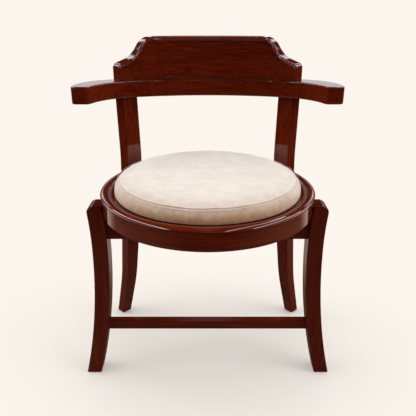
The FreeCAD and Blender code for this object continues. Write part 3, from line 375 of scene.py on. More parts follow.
def grain_vector(tree, direction):
    """Object coordinates turned so that X runs along the fibres."""
    x, y, z = split(tree, object_place(tree))
    if direction == "along_x":
        return join(tree, x, y, z)
    if direction == "upright":
        return join(tree, z, x, y)
    from_middle = math_node(tree, "SUBTRACT", y, SEAT_Y)
    angle = math_node(tree, "ARCTAN2", x, times(tree, from_middle, -1.0))
    square = plus(tree, times(tree, x, x), times(tree, from_middle, from_middle))
    return join(tree, times(tree, angle, RIM_RADIUS), math_node(tree, "SQRT", square), z)


def wood(name, direction, dark, middle, light, pores, roughness, lacquer, bump):
    """Wood with its grain along a direction, lacquered or bare."""
    material, tree, shader = new_material(name)
    vector = grain_vector(tree, direction)
    grain = place_group(tree, GRAIN, vector, Dark=(*dark, 1.0), Middle=(*middle, 1.0),
                        Light=(*light, 1.0), Pores=pores)
    marks = place_group(tree, MARKS, vector, Amount=0.12)
    tree.links.new(grain.outputs["Color"], shader.inputs["Base Color"])
    rough = plus(tree, roughness, times(tree, grain.outputs["Gloss Loss"], 0.15))
    tree.links.new(plus(tree, rough, marks.outputs["Mask"]), shader.inputs["Roughness"])
    add_relief(tree, shader, grain.outputs["Height"], bump, 0.0004)
    shader.inputs["Specular IOR Level"].default_value = 0.0 if lacquer else 0.35
    if lacquer:
        shader.inputs["Coat Weight"].default_value = lacquer
        shader.inputs["Coat Roughness"].default_value = 0.045
        shader.inputs["Coat IOR"].default_value = 1.5
    return material


MAHOGANY = ((0.060, 0.0047, 0.0010), (0.104, 0.0098, 0.0020), (0.163, 0.0210, 0.0042))


def mahogany(name, direction):
    """Dark red-brown stain under gloss lacquer."""
    return wood(name, direction, *MAHOGANY, pores=0.75, roughness=0.50, lacquer=1.0,
                bump=0.06)


def painted_side_shade(tree, place, top, side, light):
    """Painted shade: cloth colour made darker on the cushion's upright side, most of all in
    front.
    """
    _, y, z = split(tree, place)
    lower = rise(tree, z, SEAM_LEVEL - SHADE_BELOW, SEAM_LEVEL + SHADE_ABOVE)
    lower = one_minus(tree, lower)
    # painted shade grows towards the front
    ahead = rise(tree, times(tree, y, -1.0), 0.0, 0.2)
    lower = times(tree, lower, plus(tree, times(tree, ahead, 0.75), 0.25))
    rubbed = noise(tree, stretched(tree, place, (1.0, 1.0, 0.7)), 90.0, 5.0, 0.7)
    rubbed = ramp(tree, rubbed, [(0.40, 0.0), (0.64, 0.18)])
    # side colour multiplied in: painted shade on the upright band
    shaded_side_colour = mix_colour(tree, 1.0, top, side, "MULTIPLY")
    shaded_side_colour = mix_colour(tree, rubbed, shaded_side_colour, light)
    return mix_colour(tree, lower, top, shaded_side_colour)


def cloth(name, base, dark, light, sheen, nap_scale, bump, side=None):
    """Brushed cloth with mottling and nap, and painted shade on an upright side where side is
    given.
    """
    material, tree, shader = new_material(name)
    place = object_place(tree)
    clouds = noise(tree, place, 16.0, 6.0, 0.66)
    patches = noise(tree, stretched(tree, place, (1.0, 1.3, 1.0)), 55.0, 4.0, 0.6)
    nap = noise(tree, place, nap_scale, 3.0, 0.7)
    light_share = ramp(tree, clouds, [(0.36, 0.0), (0.66, 1.0)])
    dark_share = ramp(tree, patches, [(0.46, 0.0), (0.80, 1.0)])
    toned = mix_colour(tree, light_share, base, light)
    toned = mix_colour(tree, times(tree, dark_share, 0.45), toned, dark)
    fibre = mix_colour(tree, times(tree, nap, 0.22), toned, dark)
    # painted shade on the cushion's upright side
    if side:
        fibre = painted_side_shade(tree, place, fibre, side, light)
    tree.links.new(fibre, shader.inputs["Base Color"])
    tree.links.new(plus(tree, 0.86, times(tree, nap, 0.12)), shader.inputs["Roughness"])
    add_relief(tree, shader, plus(tree, nap, times(tree, patches, 0.6)), bump, 0.0006)
    shader.inputs["Specular IOR Level"].default_value = 0.15
    shader.inputs["Sheen Weight"].default_value = sheen
    shader.inputs["Sheen Roughness"].default_value = 0.45
    return material


def steel_material():
    """Zinc-plated steel with its faint crystals and scratches."""
    material, tree, shader = new_material("zinc_steel")
    place = object_place(tree)
    crystals = tree.nodes.new("ShaderNodeTexVoronoi")
    crystals.inputs["Scale"].default_value = 900.0
    tree.links.new(place, crystals.inputs["Vector"])
    tone = mix_colour(tree, crystals.outputs["Distance"], (0.50, 0.50, 0.50),
                      (0.66, 0.66, 0.64))
    tree.links.new(tone, shader.inputs["Base Color"])
    shader.inputs["Metallic"].default_value = 1.0
    scratches = noise(tree, stretched(tree, place, (300.0, 300.0, 900.0)), 1.0, 2.0)
    tree.links.new(plus(tree, 0.26, times(tree, scratches, 0.2)), shader.inputs["Roughness"])
    add_relief(tree, shader, scratches, 0.1, 0.0002)
    return material


def nylon_material():
    """Dull brown glides, scuffed grey."""
    material, tree, shader = new_material("glide_nylon")
    scuffs = place_group(tree, MARKS, object_place(tree), Amount=0.6).outputs["Mask"]
    tone = mix_colour(tree, scuffs, (0.060, 0.045, 0.036), (0.15, 0.13, 0.11))
    tree.links.new(tone, shader.inputs["Base Color"])
    tree.links.new(plus(tree, 0.45, scuffs), shader.inputs["Roughness"])
    add_relief(tree, shader, scuffs, 0.15, 0.0003)
    return material


def dress(material, *names):
    """Gives CAD nodes a material."""
    for name in names:
        mesh = nodes[name].data
        mesh.materials.clear()
        mesh.materials.append(material)


WOOD_PIECES = {
    "along_x": ("crest_rail", "arm_left", "arm_right", "front_rail", "rear_rail",
                "front_stretcher"),
    "upright": ("front_leg_left", "front_leg_right", "rear_leg_left", "rear_leg_right"),
    "round": ("seat_apron",),
}

mahogany_long = mahogany("mahogany_lengthwise", "along_x")
mahogany_upright = mahogany("mahogany_upright", "upright")
mahogany_round = mahogany("mahogany_bent", "round")
# near-black paint for the shadow lines beside the crest's bead and along its foot, where
# there is only shade
painted_shadow_line = wood("painted_shadow_line", "along_x", (0.004, 0.002, 0.002), (0.008, 0.004, 0.003),
                   (0.012, 0.006, 0.004), pores=0.4, roughness=0.7, lacquer=0.0, bump=0.1)
beech = wood("beech_bare", "along_x", (0.40, 0.26, 0.14), (0.52, 0.35, 0.20),
             (0.62, 0.45, 0.28), pores=0.4, roughness=0.6, lacquer=0.0, bump=0.3)
plywood = wood("plywood_bare", "along_x", (0.42, 0.28, 0.15), (0.55, 0.39, 0.22),
               (0.66, 0.50, 0.32), pores=0.3, roughness=0.65, lacquer=0.0, bump=0.3)
# side is the colour multiplied in as painted shade on the cushion's upright band
suede = cloth("suede_beige", (0.70, 0.62, 0.555), (0.58, 0.475, 0.39), (0.77, 0.71, 0.655),
              sheen=0.15, nap_scale=900.0, bump=0.30, side=(0.54, 0.34, 0.19))
dust_cloth = cloth("dust_cloth_black", (0.018, 0.018, 0.020), (0.010, 0.010, 0.011),
                   (0.035, 0.035, 0.037), sheen=0.1, nap_scale=1400.0, bump=0.5)
thread = cloth("thread_beige", (0.60, 0.50, 0.40), (0.47, 0.38, 0.29), (0.70, 0.61, 0.51),
               sheen=0.1, nap_scale=1500.0, bump=0.3)
steel = steel_material()
nylon = nylon_material()

STAINS = {"along_x": mahogany_long, "upright": mahogany_upright, "round": mahogany_round}
for direction, names in WOOD_PIECES.items():
    dress(STAINS[direction], *names)
dress(mahogany_round, "seat_rim")
dress(beech, "rim_dowels", "arm_joint_dowels", "crest_dowels", "post_dowels", "seat_blocks")
dress(plywood, "seat_board")
dress(steel, "cover_staples", "leg_bolts", "leg_bolt_washers", "crest_screws",
      "seat_screws", "block_screws")
dress(nylon, "floor_glides")


# Mesh helpers

def link_mesh(name, mesh, material):
    """Object at the origin for a finished mesh."""
    mesh.materials.clear()
    mesh.materials.append(material)
    piece = bpy.data.objects.new(name, mesh)
    bpy.context.scene.collection.objects.link(piece)
    return piece


def smooth(mesh):
    for polygon in mesh.polygons:
        polygon.use_smooth = True


def lathe(name, profile, steps):
    """Closed mesh from a profile of (radius, height) that starts and ends on the axis."""
    shape = bmesh.new()
    rings = []
    for radius, level in profile:
        if radius < TINY:
            rings.append([shape.verts.new((0.0, SEAT_Y, level))])
            continue
        ring = []
        for i in range(steps):
            angle = 2 * math.pi * i / steps
            ring.append(shape.verts.new((radius * math.sin(angle),
                                         SEAT_Y - radius * math.cos(angle), level)))
        rings.append(ring)
    for lower, upper in zip(rings, rings[1:]):
        for i in range(steps):
            j = (i + 1) % steps
            face = [lower[i % len(lower)], lower[j % len(lower)],
                    upper[j % len(upper)], upper[i % len(upper)]]
            corners = list(dict.fromkeys(face))
            shape.faces.new(corners)
    bmesh.ops.recalc_face_normals(shape, faces=shape.faces)
    mesh = bpy.data.meshes.new(name)
    shape.to_mesh(mesh)
    shape.free()
    smooth(mesh)
    return mesh


def merged(mesh):
    """Mesh of another mesh's joined triangles, flat faces and soft edges told apart."""
    shape = bmesh.new()
    shape.from_mesh(mesh)
    bmesh.ops.remove_doubles(shape, verts=shape.verts, dist=TINY)
    bmesh.ops.dissolve_limit(shape, angle_limit=math.radians(JOINED_ANGLE),
                             verts=shape.verts, edges=shape.edges)
    shape.verts.index_update()
    points = [vertex.co.copy() for vertex in shape.verts]
    faces = [[vertex.index for vertex in face.verts] for face in shape.faces]
    shape.free()
    joined = bpy.data.meshes.new(mesh.name + "_joined")
    joined.from_pydata(points, [], faces)
    smooth(joined)
    joined.set_sharp_from_angle(angle=math.radians(SHARP_ANGLE))
    return joined


def polish(node, material):
    """Copy of a wooden piece whose rounded edges shine evenly."""
    piece = link_mesh(node + "_polished", merged(nodes[node].data), material)
    weigh = piece.modifiers.new("even_shine", "WEIGHTED_NORMAL")
    weigh.keep_sharp = True
    weigh.weight = 50
    evaluated = piece.evaluated_get(bpy.context.evaluated_depsgraph_get())
    mesh = bpy.data.meshes.new_from_object(evaluated)
    piece.modifiers.remove(weigh)
    piece.data = mesh
    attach(piece, "root")
    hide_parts(node)


def tube(name, path, thickness, material):
    """Round moulding along points that each carry two directions of its section."""
    shape = bmesh.new()
    rings = []
    for place, across, out in path:
        ring = []
        for k in range(MOULDING_SIDES):
            turn = 2 * math.pi * k / MOULDING_SIDES
            offset = across * math.cos(turn) + out * math.sin(turn)
            ring.append(shape.verts.new(place + offset * thickness))
        rings.append(ring)
    for here, there in zip(rings, rings[1:]):
        for k in range(MOULDING_SIDES):
            m = (k + 1) % MOULDING_SIDES
            shape.faces.new((here[k], here[m], there[m], there[k]))
    for ring in (rings[0], rings[-1]):
        shape.faces.new(ring)
    bmesh.ops.recalc_face_normals(shape, faces=shape.faces)
    mesh = bpy.data.meshes.new(name)
    shape.to_mesh(mesh)
    shape.free()
    smooth(mesh)
    return link_mesh(name, mesh, material)


# Wooden frame

for direction, names in WOOD_PIECES.items():
    for name in names:
        polish(name, STAINS[direction])


# Seat rim, turned with a crowned top between a bullnose and a rolled inner edge

RIM_SECTION = (                 # inward from the outside and down from the top, in mm
    (48.5, 13.0), (48.5, 7.0), (25.6, 7.0), (23.6, 6.8), (22.2, 6.2), (21.2, 5.2),
    (20.2, 3.9), (18.9, 2.5), (17.2, 1.3), (15.0, 0.5), (12.4, 0.1), (9.8, 0.1), (7.4, 0.5),
    (5.2, 1.1), (3.3, 2.0), (1.7, 3.2), (0.6, 4.5), (0.2, 5.5), (0.5, 6.5), (1.4, 7.3),
    (2.8, 7.8), (4.5, 8.0), (14.6, 8.0), (14.6, 13.0))


def section_points(section, steps):
    """Smooth line through a section's rounded part, with its straight corners kept."""
    places = [(RIM_RADIUS - inward / 1000, RIM_TOP - down / 1000) for inward, down in section]
    first, last = 2, len(places) - 3
    points = places[:first]
    for i in range(first, last):
        before, here = places[i - 1 if i > first else i], places[i]
        there, after = places[i + 1], places[i + 2 if i + 1 < last else i + 1]
        for k in range(steps):
            t = k / steps
            points.append(tuple(
                0.5 * (2 * b + (c - a) * t + (2 * a - 5 * b + 4 * c - d) * t * t
                       + (3 * b - a - 3 * c + d) * t ** 3)
                for a, b, c, d in zip(before, here, there, after)))
    return points + places[last:]


def turned_ring(name, profile, material):
    """Closed ring from a closed section of (radius, height)."""
    shape = bmesh.new()
    rings = []
    for i in range(RIM_STEPS):
        angle = 2 * math.pi * i / RIM_STEPS
        rings.append([shape.verts.new((radius * math.sin(angle),
                                       SEAT_Y - radius * math.cos(angle), level))
                      for radius, level in profile])
    for i, here in enumerate(rings):
        there = rings[(i + 1) % RIM_STEPS]
        for k in range(len(profile)):
            m = (k + 1) % len(profile)
            shape.faces.new((here[k], here[m], there[m], there[k]))
    bmesh.ops.recalc_face_normals(shape, faces=shape.faces)
    mesh = bpy.data.meshes.new(name)
    shape.to_mesh(mesh)
    shape.free()
    smooth(mesh)
    mesh.set_sharp_from_angle(angle=math.radians(SHARP_ANGLE))
    return link_mesh(name, mesh, material)


seat_rim = turned_ring("seat_rim_turned", section_points(RIM_SECTION, steps=3),
                       mahogany_round)
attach(seat_rim, "root")
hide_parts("seat_rim")


# Bead round the hollow front face of the crest, with painted shadow lines inside and under it

def hollow_face(shape):
    """Faces of the crest's even front."""
    front = [face for face in shape.faces if face.normal.y < FRONTWARD]
    seed = max(front, key=lambda face: face.calc_area())
    found, waiting = {seed}, [seed]
    while waiting:
        face = waiting.pop()
        for edge in face.edges:
            for other in edge.link_faces:
                turn = face.normal.angle(other.normal)
                if other not in found and turn < math.radians(FLAT_ANGLE):
                    found.add(other)
                    waiting.append(other)
    return found


def front_line(mesh, along_foot):
    """Points of the front face's foot, or of its edge from foot to foot over the top."""
    shape = bmesh.new()
    shape.from_mesh(mesh)
    found = hollow_face(shape)
    foot = CREST_LOW.z + FOOT_LAYER
    links = {}
    for edge in {edge for face in found for edge in face.edges}:
        outside = any(other not in found for other in edge.link_faces)
        at_foot = max(vertex.co.z for vertex in edge.verts) < foot
        if outside and at_foot == along_foot:
            first, last = edge.verts
            links.setdefault(first, []).append(last)
            links.setdefault(last, []).append(first)
    start = min((vertex for vertex in links if len(links[vertex]) == 1),
                key=lambda vertex: vertex.co.x)
    route, last = [start], None
    while True:
        ahead = [vertex for vertex in links[route[-1]] if vertex is not last]
        if not ahead:
            break
        last = route[-1]
        route.append(ahead[0])
    points = [vertex.co.copy() for vertex in route]
    shape.free()
    return points


def even_points(points, spacing):
    """Points at even steps along a line through points."""
    lengths = [0.0]
    for first, last in zip(points, points[1:]):
        lengths.append(lengths[-1] + (last - first).length)
    count = max(2, round(lengths[-1] / spacing))
    result, at = [], 0
    for step in range(count + 1):
        wanted = lengths[-1] * step / count
        while at < len(points) - 2 and lengths[at + 1] < wanted:
            at += 1
        share = (wanted - lengths[at]) / max(1e-9, lengths[at + 1] - lengths[at])
        result.append(points[at].lerp(points[at + 1], min(1.0, share)))
    return result


def eased(points, rounds):
    """Points of a line with its small bends evened out."""
    points = even_points(points, MOULDING_SPACING)
    for _ in range(rounds):
        inner = [(a + b * 2 + c) / 4 for a, b, c in zip(points, points[1:], points[2:])]
        points = [points[0], *inner, points[-1]]
    return points


def mould(name, points, thickness, material, proud=0.0, surface=None, inward=0.0):
    """Small round moulding along points, or inward of them on a surface."""
    path = []
    out = Vector((0.0, -1.0, 0.0))
    for index, point in enumerate(points):
        before = points[max(0, index - 1)]
        after = points[min(len(points) - 1, index + 1)]
        across = (after - before).cross(out).normalized()
        if surface:
            point = surface.find_nearest(point + across * inward)[0]
        path.append((point + out * (proud * thickness), across, out))
    piece = tube(name, path, thickness, material)
    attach(piece, "root")


crest_mesh = merged(nodes["crest_rail"].data)
crest_surface = BVHTree.FromPolygons([vertex.co for vertex in crest_mesh.vertices],
                                     [face.vertices for face in crest_mesh.polygons])
crest_edge = eased(front_line(crest_mesh, along_foot=False), rounds=6)
crest_foot = [point + Vector((0.0, 0.0, JOINT_SHADOW_RADIUS))
              for point in front_line(crest_mesh, along_foot=True)]
mould("crest_bead", crest_edge, BEAD_RADIUS, mahogany_long, proud=0.3)
# painted shade of a quirk beside the bead
mould("crest_quirk_shadow", crest_edge, QUIRK_SHADOW_RADIUS, painted_shadow_line, surface=crest_surface,
      inward=BEAD_RADIUS + 0.5 * QUIRK_SHADOW_RADIUS)
# painted shadow along the crest's foot, where it meets the bow
mould("crest_joint_shadow", eased(crest_foot, rounds=1), JOINT_SHADOW_RADIUS, painted_shadow_line, proud=0.2)
bpy.data.meshes.remove(crest_mesh)


# Cushion

def cushion_profile(slack, side_rows, crown_rows):
    """Half section from the middle of the underside to the crown, lower by its slack."""
    points = []
    for i in range(FOOT_ROWS + 1):
        points.append(((PAD_FOOT - BEVEL_WIDTH) * i / FOOT_ROWS, PAD_BOTTOM))
    side = SEAM_LEVEL - PAD_BOTTOM - BEVEL_HEIGHT
    for i in range(side_rows + 1):
        share = i / side_rows
        bulge = (PAD_RADIUS - PAD_FOOT) * math.sin(math.pi * share)
        lean = (SEAM_RADIUS - PAD_FOOT) * share * share
        points.append((PAD_FOOT + bulge + lean - 0.2 * slack * math.sin(math.pi * share),
                       PAD_BOTTOM + BEVEL_HEIGHT + side * share))
    crown = PAD_TOP - SEAM_LEVEL - slack
    for i in range(1, crown_rows + 1):
        share = math.cos(math.pi / 2 * i / crown_rows)
        dome = (1 - share ** CROWN_FULLNESS) ** CROWN_ROUNDNESS
        points.append((SEAM_RADIUS * share, SEAM_LEVEL + crown * dome))
    points[-1] = (0.0, points[-1][1])
    return points


def swell(piece):
    """How far air pressure moves each point of the closed cover, as (rest, move)."""
    bpy.context.view_layer.objects.active = piece
    rest = [vertex.co.copy() for vertex in piece.data.vertices]
    held = piece.vertex_groups.new(name="held")
    for vertex in piece.data.vertices:
        if vertex.co.z < PAD_BOTTOM + HELD_HEIGHT:
            held.add([vertex.index], 1.0, "REPLACE")
    filling = piece.modifiers.new("filling", "CLOTH")
    settings = filling.settings
    settings.quality = 5
    settings.mass = COVER_MASS
    settings.tension_stiffness = COVER_STIFFNESS
    settings.compression_stiffness = COVER_STIFFNESS
    settings.bending_stiffness = COVER_BENDING
    settings.use_pressure = True
    settings.uniform_pressure_force = FILLING_PRESSURE
    settings.vertex_group_mass = held.name
    settings.effector_weights.gravity = 0.0
    filling.point_cache.frame_start = 1
    filling.point_cache.frame_end = FILLING_FRAMES
    scene = bpy.context.scene
    for number in range(1, FILLING_FRAMES + 1):
        scene.frame_set(number)
        bpy.context.view_layer.update()
    evaluated = piece.evaluated_get(bpy.context.evaluated_depsgraph_get())
    moves = []
    for old, vertex in zip(rest, evaluated.data.vertices):
        step = vertex.co - old
        if step.length > SWELL_CAP:
            step *= SWELL_CAP / step.length
        moves.append((old, step))
    scene.frame_set(1)
    return moves


def simulated_moves():
    """Moves of an evenly meshed cover a little smaller than the cushion."""
    profile = cushion_profile(SLACK, COARSE_SIDE_ROWS, COARSE_CROWN_ROWS)
    mesh = lathe("cushion_cover", profile, COARSE_STEPS)
    piece = link_mesh("cushion_cover", mesh, suede)
    remesh = piece.modifiers.new("even_mesh", "REMESH")
    remesh.mode = "VOXEL"
    remesh.voxel_size = VOXEL
    evaluated = piece.evaluated_get(bpy.context.evaluated_depsgraph_get())
    even = bpy.data.meshes.new_from_object(evaluated)
    piece.modifiers.remove(remesh)
    piece.data = even
    moves = swell(piece)
    bpy.data.objects.remove(piece)
    return moves


def follow(mesh, moves):
    """Moves each vertex with the nearest simulated points."""
    tree = kdtree.KDTree(len(moves))
    for index, (rest, _) in enumerate(moves):
        tree.insert(rest, index)
    tree.balance()
    for vertex in mesh.vertices:
        total, weights = Vector(), 0.0
        for _, index, distance in tree.find_n(vertex.co, SWELL_NEIGHBOURS):
            weight = 1 / (distance + VOXEL / 4)
            total += moves[index][1] * weight
            weights += weight
        vertex.co += total / weights


def bell(distance, spread):
    """1 where the distance is 0, and falling to 0 over the spread."""
    return math.exp(-(distance / spread) ** 2)


def sew_seam(mesh, places):
    """Draws the seam in between two folds of cloth, with small puckers beside it."""
    for vertex, place in zip(mesh.vertices, places):
        x, y = place.x, place.y - SEAT_Y
        radius = math.hypot(x, y)
        if radius < SEAM_RADIUS - SEAM_REACH:
            continue
        angle = math.atan2(x, -y)
        wander = (SEAM_WANDER[0] * math.sin(7 * angle + 0.6)
                  + SEAM_WANDER[1] * math.sin(17 * angle))
        distance = math.hypot(radius - SEAM_RADIUS, place.z - SEAM_LEVEL - wander)
        below = place.z < SEAM_LEVEL + wander
        spread = LOWER_FOLD_SPREAD if below else FOLD_SPREAD
        share = LOWER_FOLD_SHARE if below else 1.0
        move = FOLD_HEIGHT * bell(distance - FOLD_PLACE, spread) * share
        move -= SEAM_DEPTH * bell(distance, SEAM_SPREAD)
        pucker = math.sin(PUCKERS * angle + 2 * math.sin(5 * angle))
        move += PUCKER_HEIGHT * pucker * bell(distance - 2 * FOLD_PLACE, FOLD_PLACE)
        outward = Vector((x / radius, y / radius, 0.6)).normalized()
        vertex.co += outward * move


def make_cushion():
    """Closed crowned cushion that takes its swell from the simulation."""
    mesh = lathe("cushion", cushion_profile(0.0, SIDE_ROWS, CROWN_ROWS), CUSHION_STEPS)
    places = [vertex.co.copy() for vertex in mesh.vertices]
    slack = lathe("cushion_slack", cushion_profile(SLACK, SIDE_ROWS, CROWN_ROWS),
                  CUSHION_STEPS)
    for vertex, smaller in zip(mesh.vertices, slack.vertices):
        vertex.co = smaller.co
    bpy.data.meshes.remove(slack)
    follow(mesh, simulated_moves())
    sew_seam(mesh, places)
    mesh.update()
    return link_mesh("cushion", mesh, suede)


def stitch_tree():
    """Geometry nodes that lay stitches round a circle."""
    tree = bpy.data.node_groups.new("seam_stitches", "GeometryNodeTree")
    face = tree.interface
    for name, kind, default in (("Radius", "NodeSocketFloat", 0.19),
                                ("Count", "NodeSocketInt", 200),
                                ("Length", "NodeSocketFloat", 0.005),
                                ("Thickness", "NodeSocketFloat", 0.0005),
                                ("Material", "NodeSocketMaterial", None)):
        socket = face.new_socket(name, in_out="INPUT", socket_type=kind)
        if default is not None:
            socket.default_value = default
    face.new_socket("Geometry", in_out="OUTPUT", socket_type="NodeSocketGeometry")
    link = tree.links.new
    source = tree.nodes.new("NodeGroupInput")
    result = tree.nodes.new("NodeGroupOutput")
    circle = tree.nodes.new("GeometryNodeMeshCircle")
    link(source.outputs["Count"], circle.inputs["Vertices"])
    link(source.outputs["Radius"], circle.inputs["Radius"])
    stitch = tree.nodes.new("GeometryNodeMeshUVSphere")
    stitch.inputs["Segments"].default_value = 6
    stitch.inputs["Rings"].default_value = 5
    stitch.inputs["Radius"].default_value = 1.0
    half = tree.nodes.new("ShaderNodeMath")
    half.operation = "MULTIPLY"
    half.inputs[1].default_value = 0.5
    link(source.outputs["Length"], half.inputs[0])
    sizes = tree.nodes.new("ShaderNodeCombineXYZ")
    link(source.outputs["Thickness"], sizes.inputs["X"])
    link(half.outputs[0], sizes.inputs["Y"])
    link(source.outputs["Thickness"], sizes.inputs["Z"])
    place = tree.nodes.new("GeometryNodeInstanceOnPoints")
    link(circle.outputs["Mesh"], place.inputs["Points"])
    link(stitch.outputs["Mesh"], place.inputs["Instance"])
    link(sizes.outputs["Vector"], place.inputs["Scale"])
    outward = tree.nodes.new("GeometryNodeInputPosition")
    turn = tree.nodes.new("FunctionNodeAlignRotationToVector")
    turn.axis = "X"
    turn.pivot_axis = "Z"
    link(outward.outputs["Position"], turn.inputs["Vector"])
    link(turn.outputs["Rotation"], place.inputs["Rotation"])
    real = tree.nodes.new("GeometryNodeRealizeInstances")
    link(place.outputs["Instances"], real.inputs["Geometry"])
    paint = tree.nodes.new("GeometryNodeSetMaterial")
    link(real.outputs["Geometry"], paint.inputs["Geometry"])
    link(source.outputs["Material"], paint.inputs["Material"])
    link(paint.outputs["Geometry"], result.inputs["Geometry"])
    return tree


def make_stitches(name, radius, level):
    """Row of stitches round the cushion, baked to a plain mesh."""
    tree = stitch_tree()
    holder = link_mesh(name, bpy.data.meshes.new(name + "_points"), thread)
    maker = holder.modifiers.new("stitches", "NODES")
    maker.node_group = tree
    values = {"Radius": radius, "Count": round(2 * math.pi * radius / STITCH_PITCH),
              "Length": STITCH_LENGTH, "Thickness": THREAD_RADIUS, "Material": thread}
    for item in tree.interface.items_tree:
        if item.in_out == "INPUT" and item.name in values:
            maker[item.identifier] = values[item.name]
    evaluated = holder.evaluated_get(bpy.context.evaluated_depsgraph_get())
    mesh = bpy.data.meshes.new_from_object(evaluated)
    holder.modifiers.remove(maker)
    for vertex in mesh.vertices:
        vertex.co.y += SEAT_Y
        vertex.co.z += level
    smooth(mesh)
    holder.data = mesh
    return holder


cushion = make_cushion()
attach(cushion, "root")
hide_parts("seat_cover_top", "seat_cover_band", "seat_foam")

seam_stitches = make_stitches("cushion_stitches", SEAM_RADIUS - SEAM_DEPTH + THREAD_PROUD,
                              SEAM_LEVEL - THREAD_LOW)
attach(seam_stitches, "root")


# Dust cloth under the seat board, slack between its staples

def make_dust_cloth():
    """Closed thin disc that sags a little."""
    radius = (CLOTH_HIGH.x - CLOTH_LOW.x) / 2
    middle = (CLOTH_LOW.z + CLOTH_HIGH.z) / 2
    under = []
    for i in range(SAG_ROWS + 1):
        share = i / SAG_ROWS
        under.append((radius * share, CLOTH_LOW.z - CLOTH_SAG * (1 - share ** 2)))
    profile = under + [(radius + CLOTH_BULGE, middle), (radius, CLOTH_HIGH.z),
                       (0.0, CLOTH_HIGH.z)]
    mesh = lathe("dust_cloth", profile, COARSE_STEPS)
    return link_mesh("dust_cloth", mesh, dust_cloth)


underside = make_dust_cloth()
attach(underside, "root")
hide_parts("seat_dust_cover")


# Stage, light and camera

def mirrored_floor(tree, x, y):
    """What the lacquer mirrors of the floor: a pale patch behind, ever darker in front."""
    sideways = math_node(tree, "ABSOLUTE", x)
    aside = one_minus(tree, rise(tree, sideways, *SIDE_FADE))
    outer = times(tree, rise(tree, sideways, *WEAK_HALF), 1.0 - WEAK_SHARE)
    aside = times(tree, aside, plus(tree, outer, WEAK_SHARE))
    behind = times(tree, aside, rise(tree, y, *GLOW_START))
    behind = times(tree, behind, one_minus(tree, rise(tree, y, *GLOW_END)))
    before = times(tree, rise(tree, y, *DIM_FADE), aside)
    dim = mix_colour(tree, before, DIM_FAR, DIM_NEAR)
    return mix_colour(tree, behind, dim, GLOW)


def emission(tree, colour):
    """Glow of a colour or a colour socket."""
    node = tree.nodes.new("ShaderNodeEmission")
    if isinstance(colour, tuple):
        node.inputs["Color"].default_value = (*colour, 1.0)
    else:
        tree.links.new(colour, node.inputs["Color"])
    return node.outputs["Emission"]


def mix_shader(tree, share, first, second):
    node = tree.nodes.new("ShaderNodeMixShader")
    for socket, value in zip(node.inputs, (share, first, second)):
        tree.links.new(value, socket)
    return node.outputs["Shader"]


def make_floor():
    """Pale floor that fades into the background and mirrors darkly in front."""
    mesh = bpy.data.meshes.new("floor")
    corners = [(x * FLOOR_HALF, y * FLOOR_HALF, 0.0)
               for x, y in ((-1, -1), (1, -1), (1, 1), (-1, 1))]
    mesh.from_pydata(corners, [], [(0, 1, 2, 3)])
    material, tree, shader = new_material("floor_paper")
    path = tree.nodes.new("ShaderNodeLightPath")
    place = object_place(tree)
    x, y, _ = split(tree, place)
    own = tuple(value * FLOOR_LEVEL for value in BACKGROUND)
    seen = mix_colour(tree, path.outputs["Is Camera Ray"], FLOOR_BOUNCE, own)
    tree.links.new(seen, shader.inputs["Base Color"])
    shader.inputs["Roughness"].default_value = 1.0
    shader.inputs["Specular IOR Level"].default_value = 0.0

    distance = tree.nodes.new("ShaderNodeVectorMath")
    distance.operation = "DISTANCE"
    tree.links.new(place, distance.inputs[0])
    distance.inputs[1].default_value = FADE_MIDDLE
    fade = tree.nodes.new("ShaderNodeMapRange")
    fade.interpolation_type = "SMOOTHSTEP"
    tree.links.new(distance.outputs["Value"], fade.inputs["Value"])
    for end, (far, share) in (("Min", FADE_START), ("Max", FADE_END)):
        fade.inputs["From " + end].default_value = far
        fade.inputs["To " + end].default_value = share
    faded = times(tree, fade.outputs["Result"], path.outputs["Is Camera Ray"])
    plain = mix_shader(tree, faded, shader.outputs["BSDF"], emission(tree, BACKGROUND))
    surface = mix_shader(tree, path.outputs["Is Glossy Ray"], plain,
                         emission(tree, mirrored_floor(tree, x, y)))
    output = next(node for node in tree.nodes if node.bl_idname == "ShaderNodeOutputMaterial")
    tree.links.new(surface, output.inputs["Surface"])
    return link_mesh("floor", mesh, material)


make_floor()


# Lights that only mirrored rays see, placed by x, y and z of their direction

CEILING_STRIPS = (              # from x to x, and strength
    (-0.61, -0.55, 18.0), (-0.05, 0.05, 0.2), (0.26, 0.31, 9.0), (0.62, 0.68, 14.0))
CEILING_START = (0.50, 0.56)    # z where the ceiling strips fade in
HORIZON_LEVEL = 1.05            # low strip behind the chair
HORIZON_BOTTOM = (0.07, 0.13)   # z where it fades in
HORIZON_TOP = (0.165, 0.25)     # and out
HORIZON_START = (0.35, 0.9)     # y where it fades in
MIDDLE_LEVEL = 2.4              # added to it in the middle
MIDDLE_HALF = 0.14
CORNER_LEVEL = 2.6              # two panels in the far corners
CORNER_START = (0.4, 0.5)       # y where they fade in
CORNER_WIDTH = (0.38, 0.52)     # their place sideways
CORNER_HEIGHT = (0.22, 0.48)
SIDE_LEVEL = 3.5                # two panels at the sides
SIDE_START = (0.66, 0.72)       # place sideways where they fade in
SIDE_HEIGHT = (0.18, 0.45)
LEAST_LEVEL = 0.015             # everywhere
SOFT_EDGE = 0.03
STRIP_TINT = (0.90, 0.93, 1.0)

# World's own light, which grows along x, y and z of a direction

SKY_GROWTH = (-0.12, 0.58, 0.95)
SKY_SHARE = 0.16                # what it grows from, where 0 is dark and 1 bright
SKY_DARK = 0.08
SKY_BRIGHT = 1.10
SKY_TINT = (0.98, 0.99, 1.0)


def between_levels(tree, value, first, last):
    """1 between two values, 0 outside them, with soft edges."""
    entered = rise(tree, value, first - SOFT_EDGE, first + SOFT_EDGE)
    left = rise(tree, value, last - SOFT_EDGE, last + SOFT_EDGE)
    return math_node(tree, "SUBTRACT", entered, left)


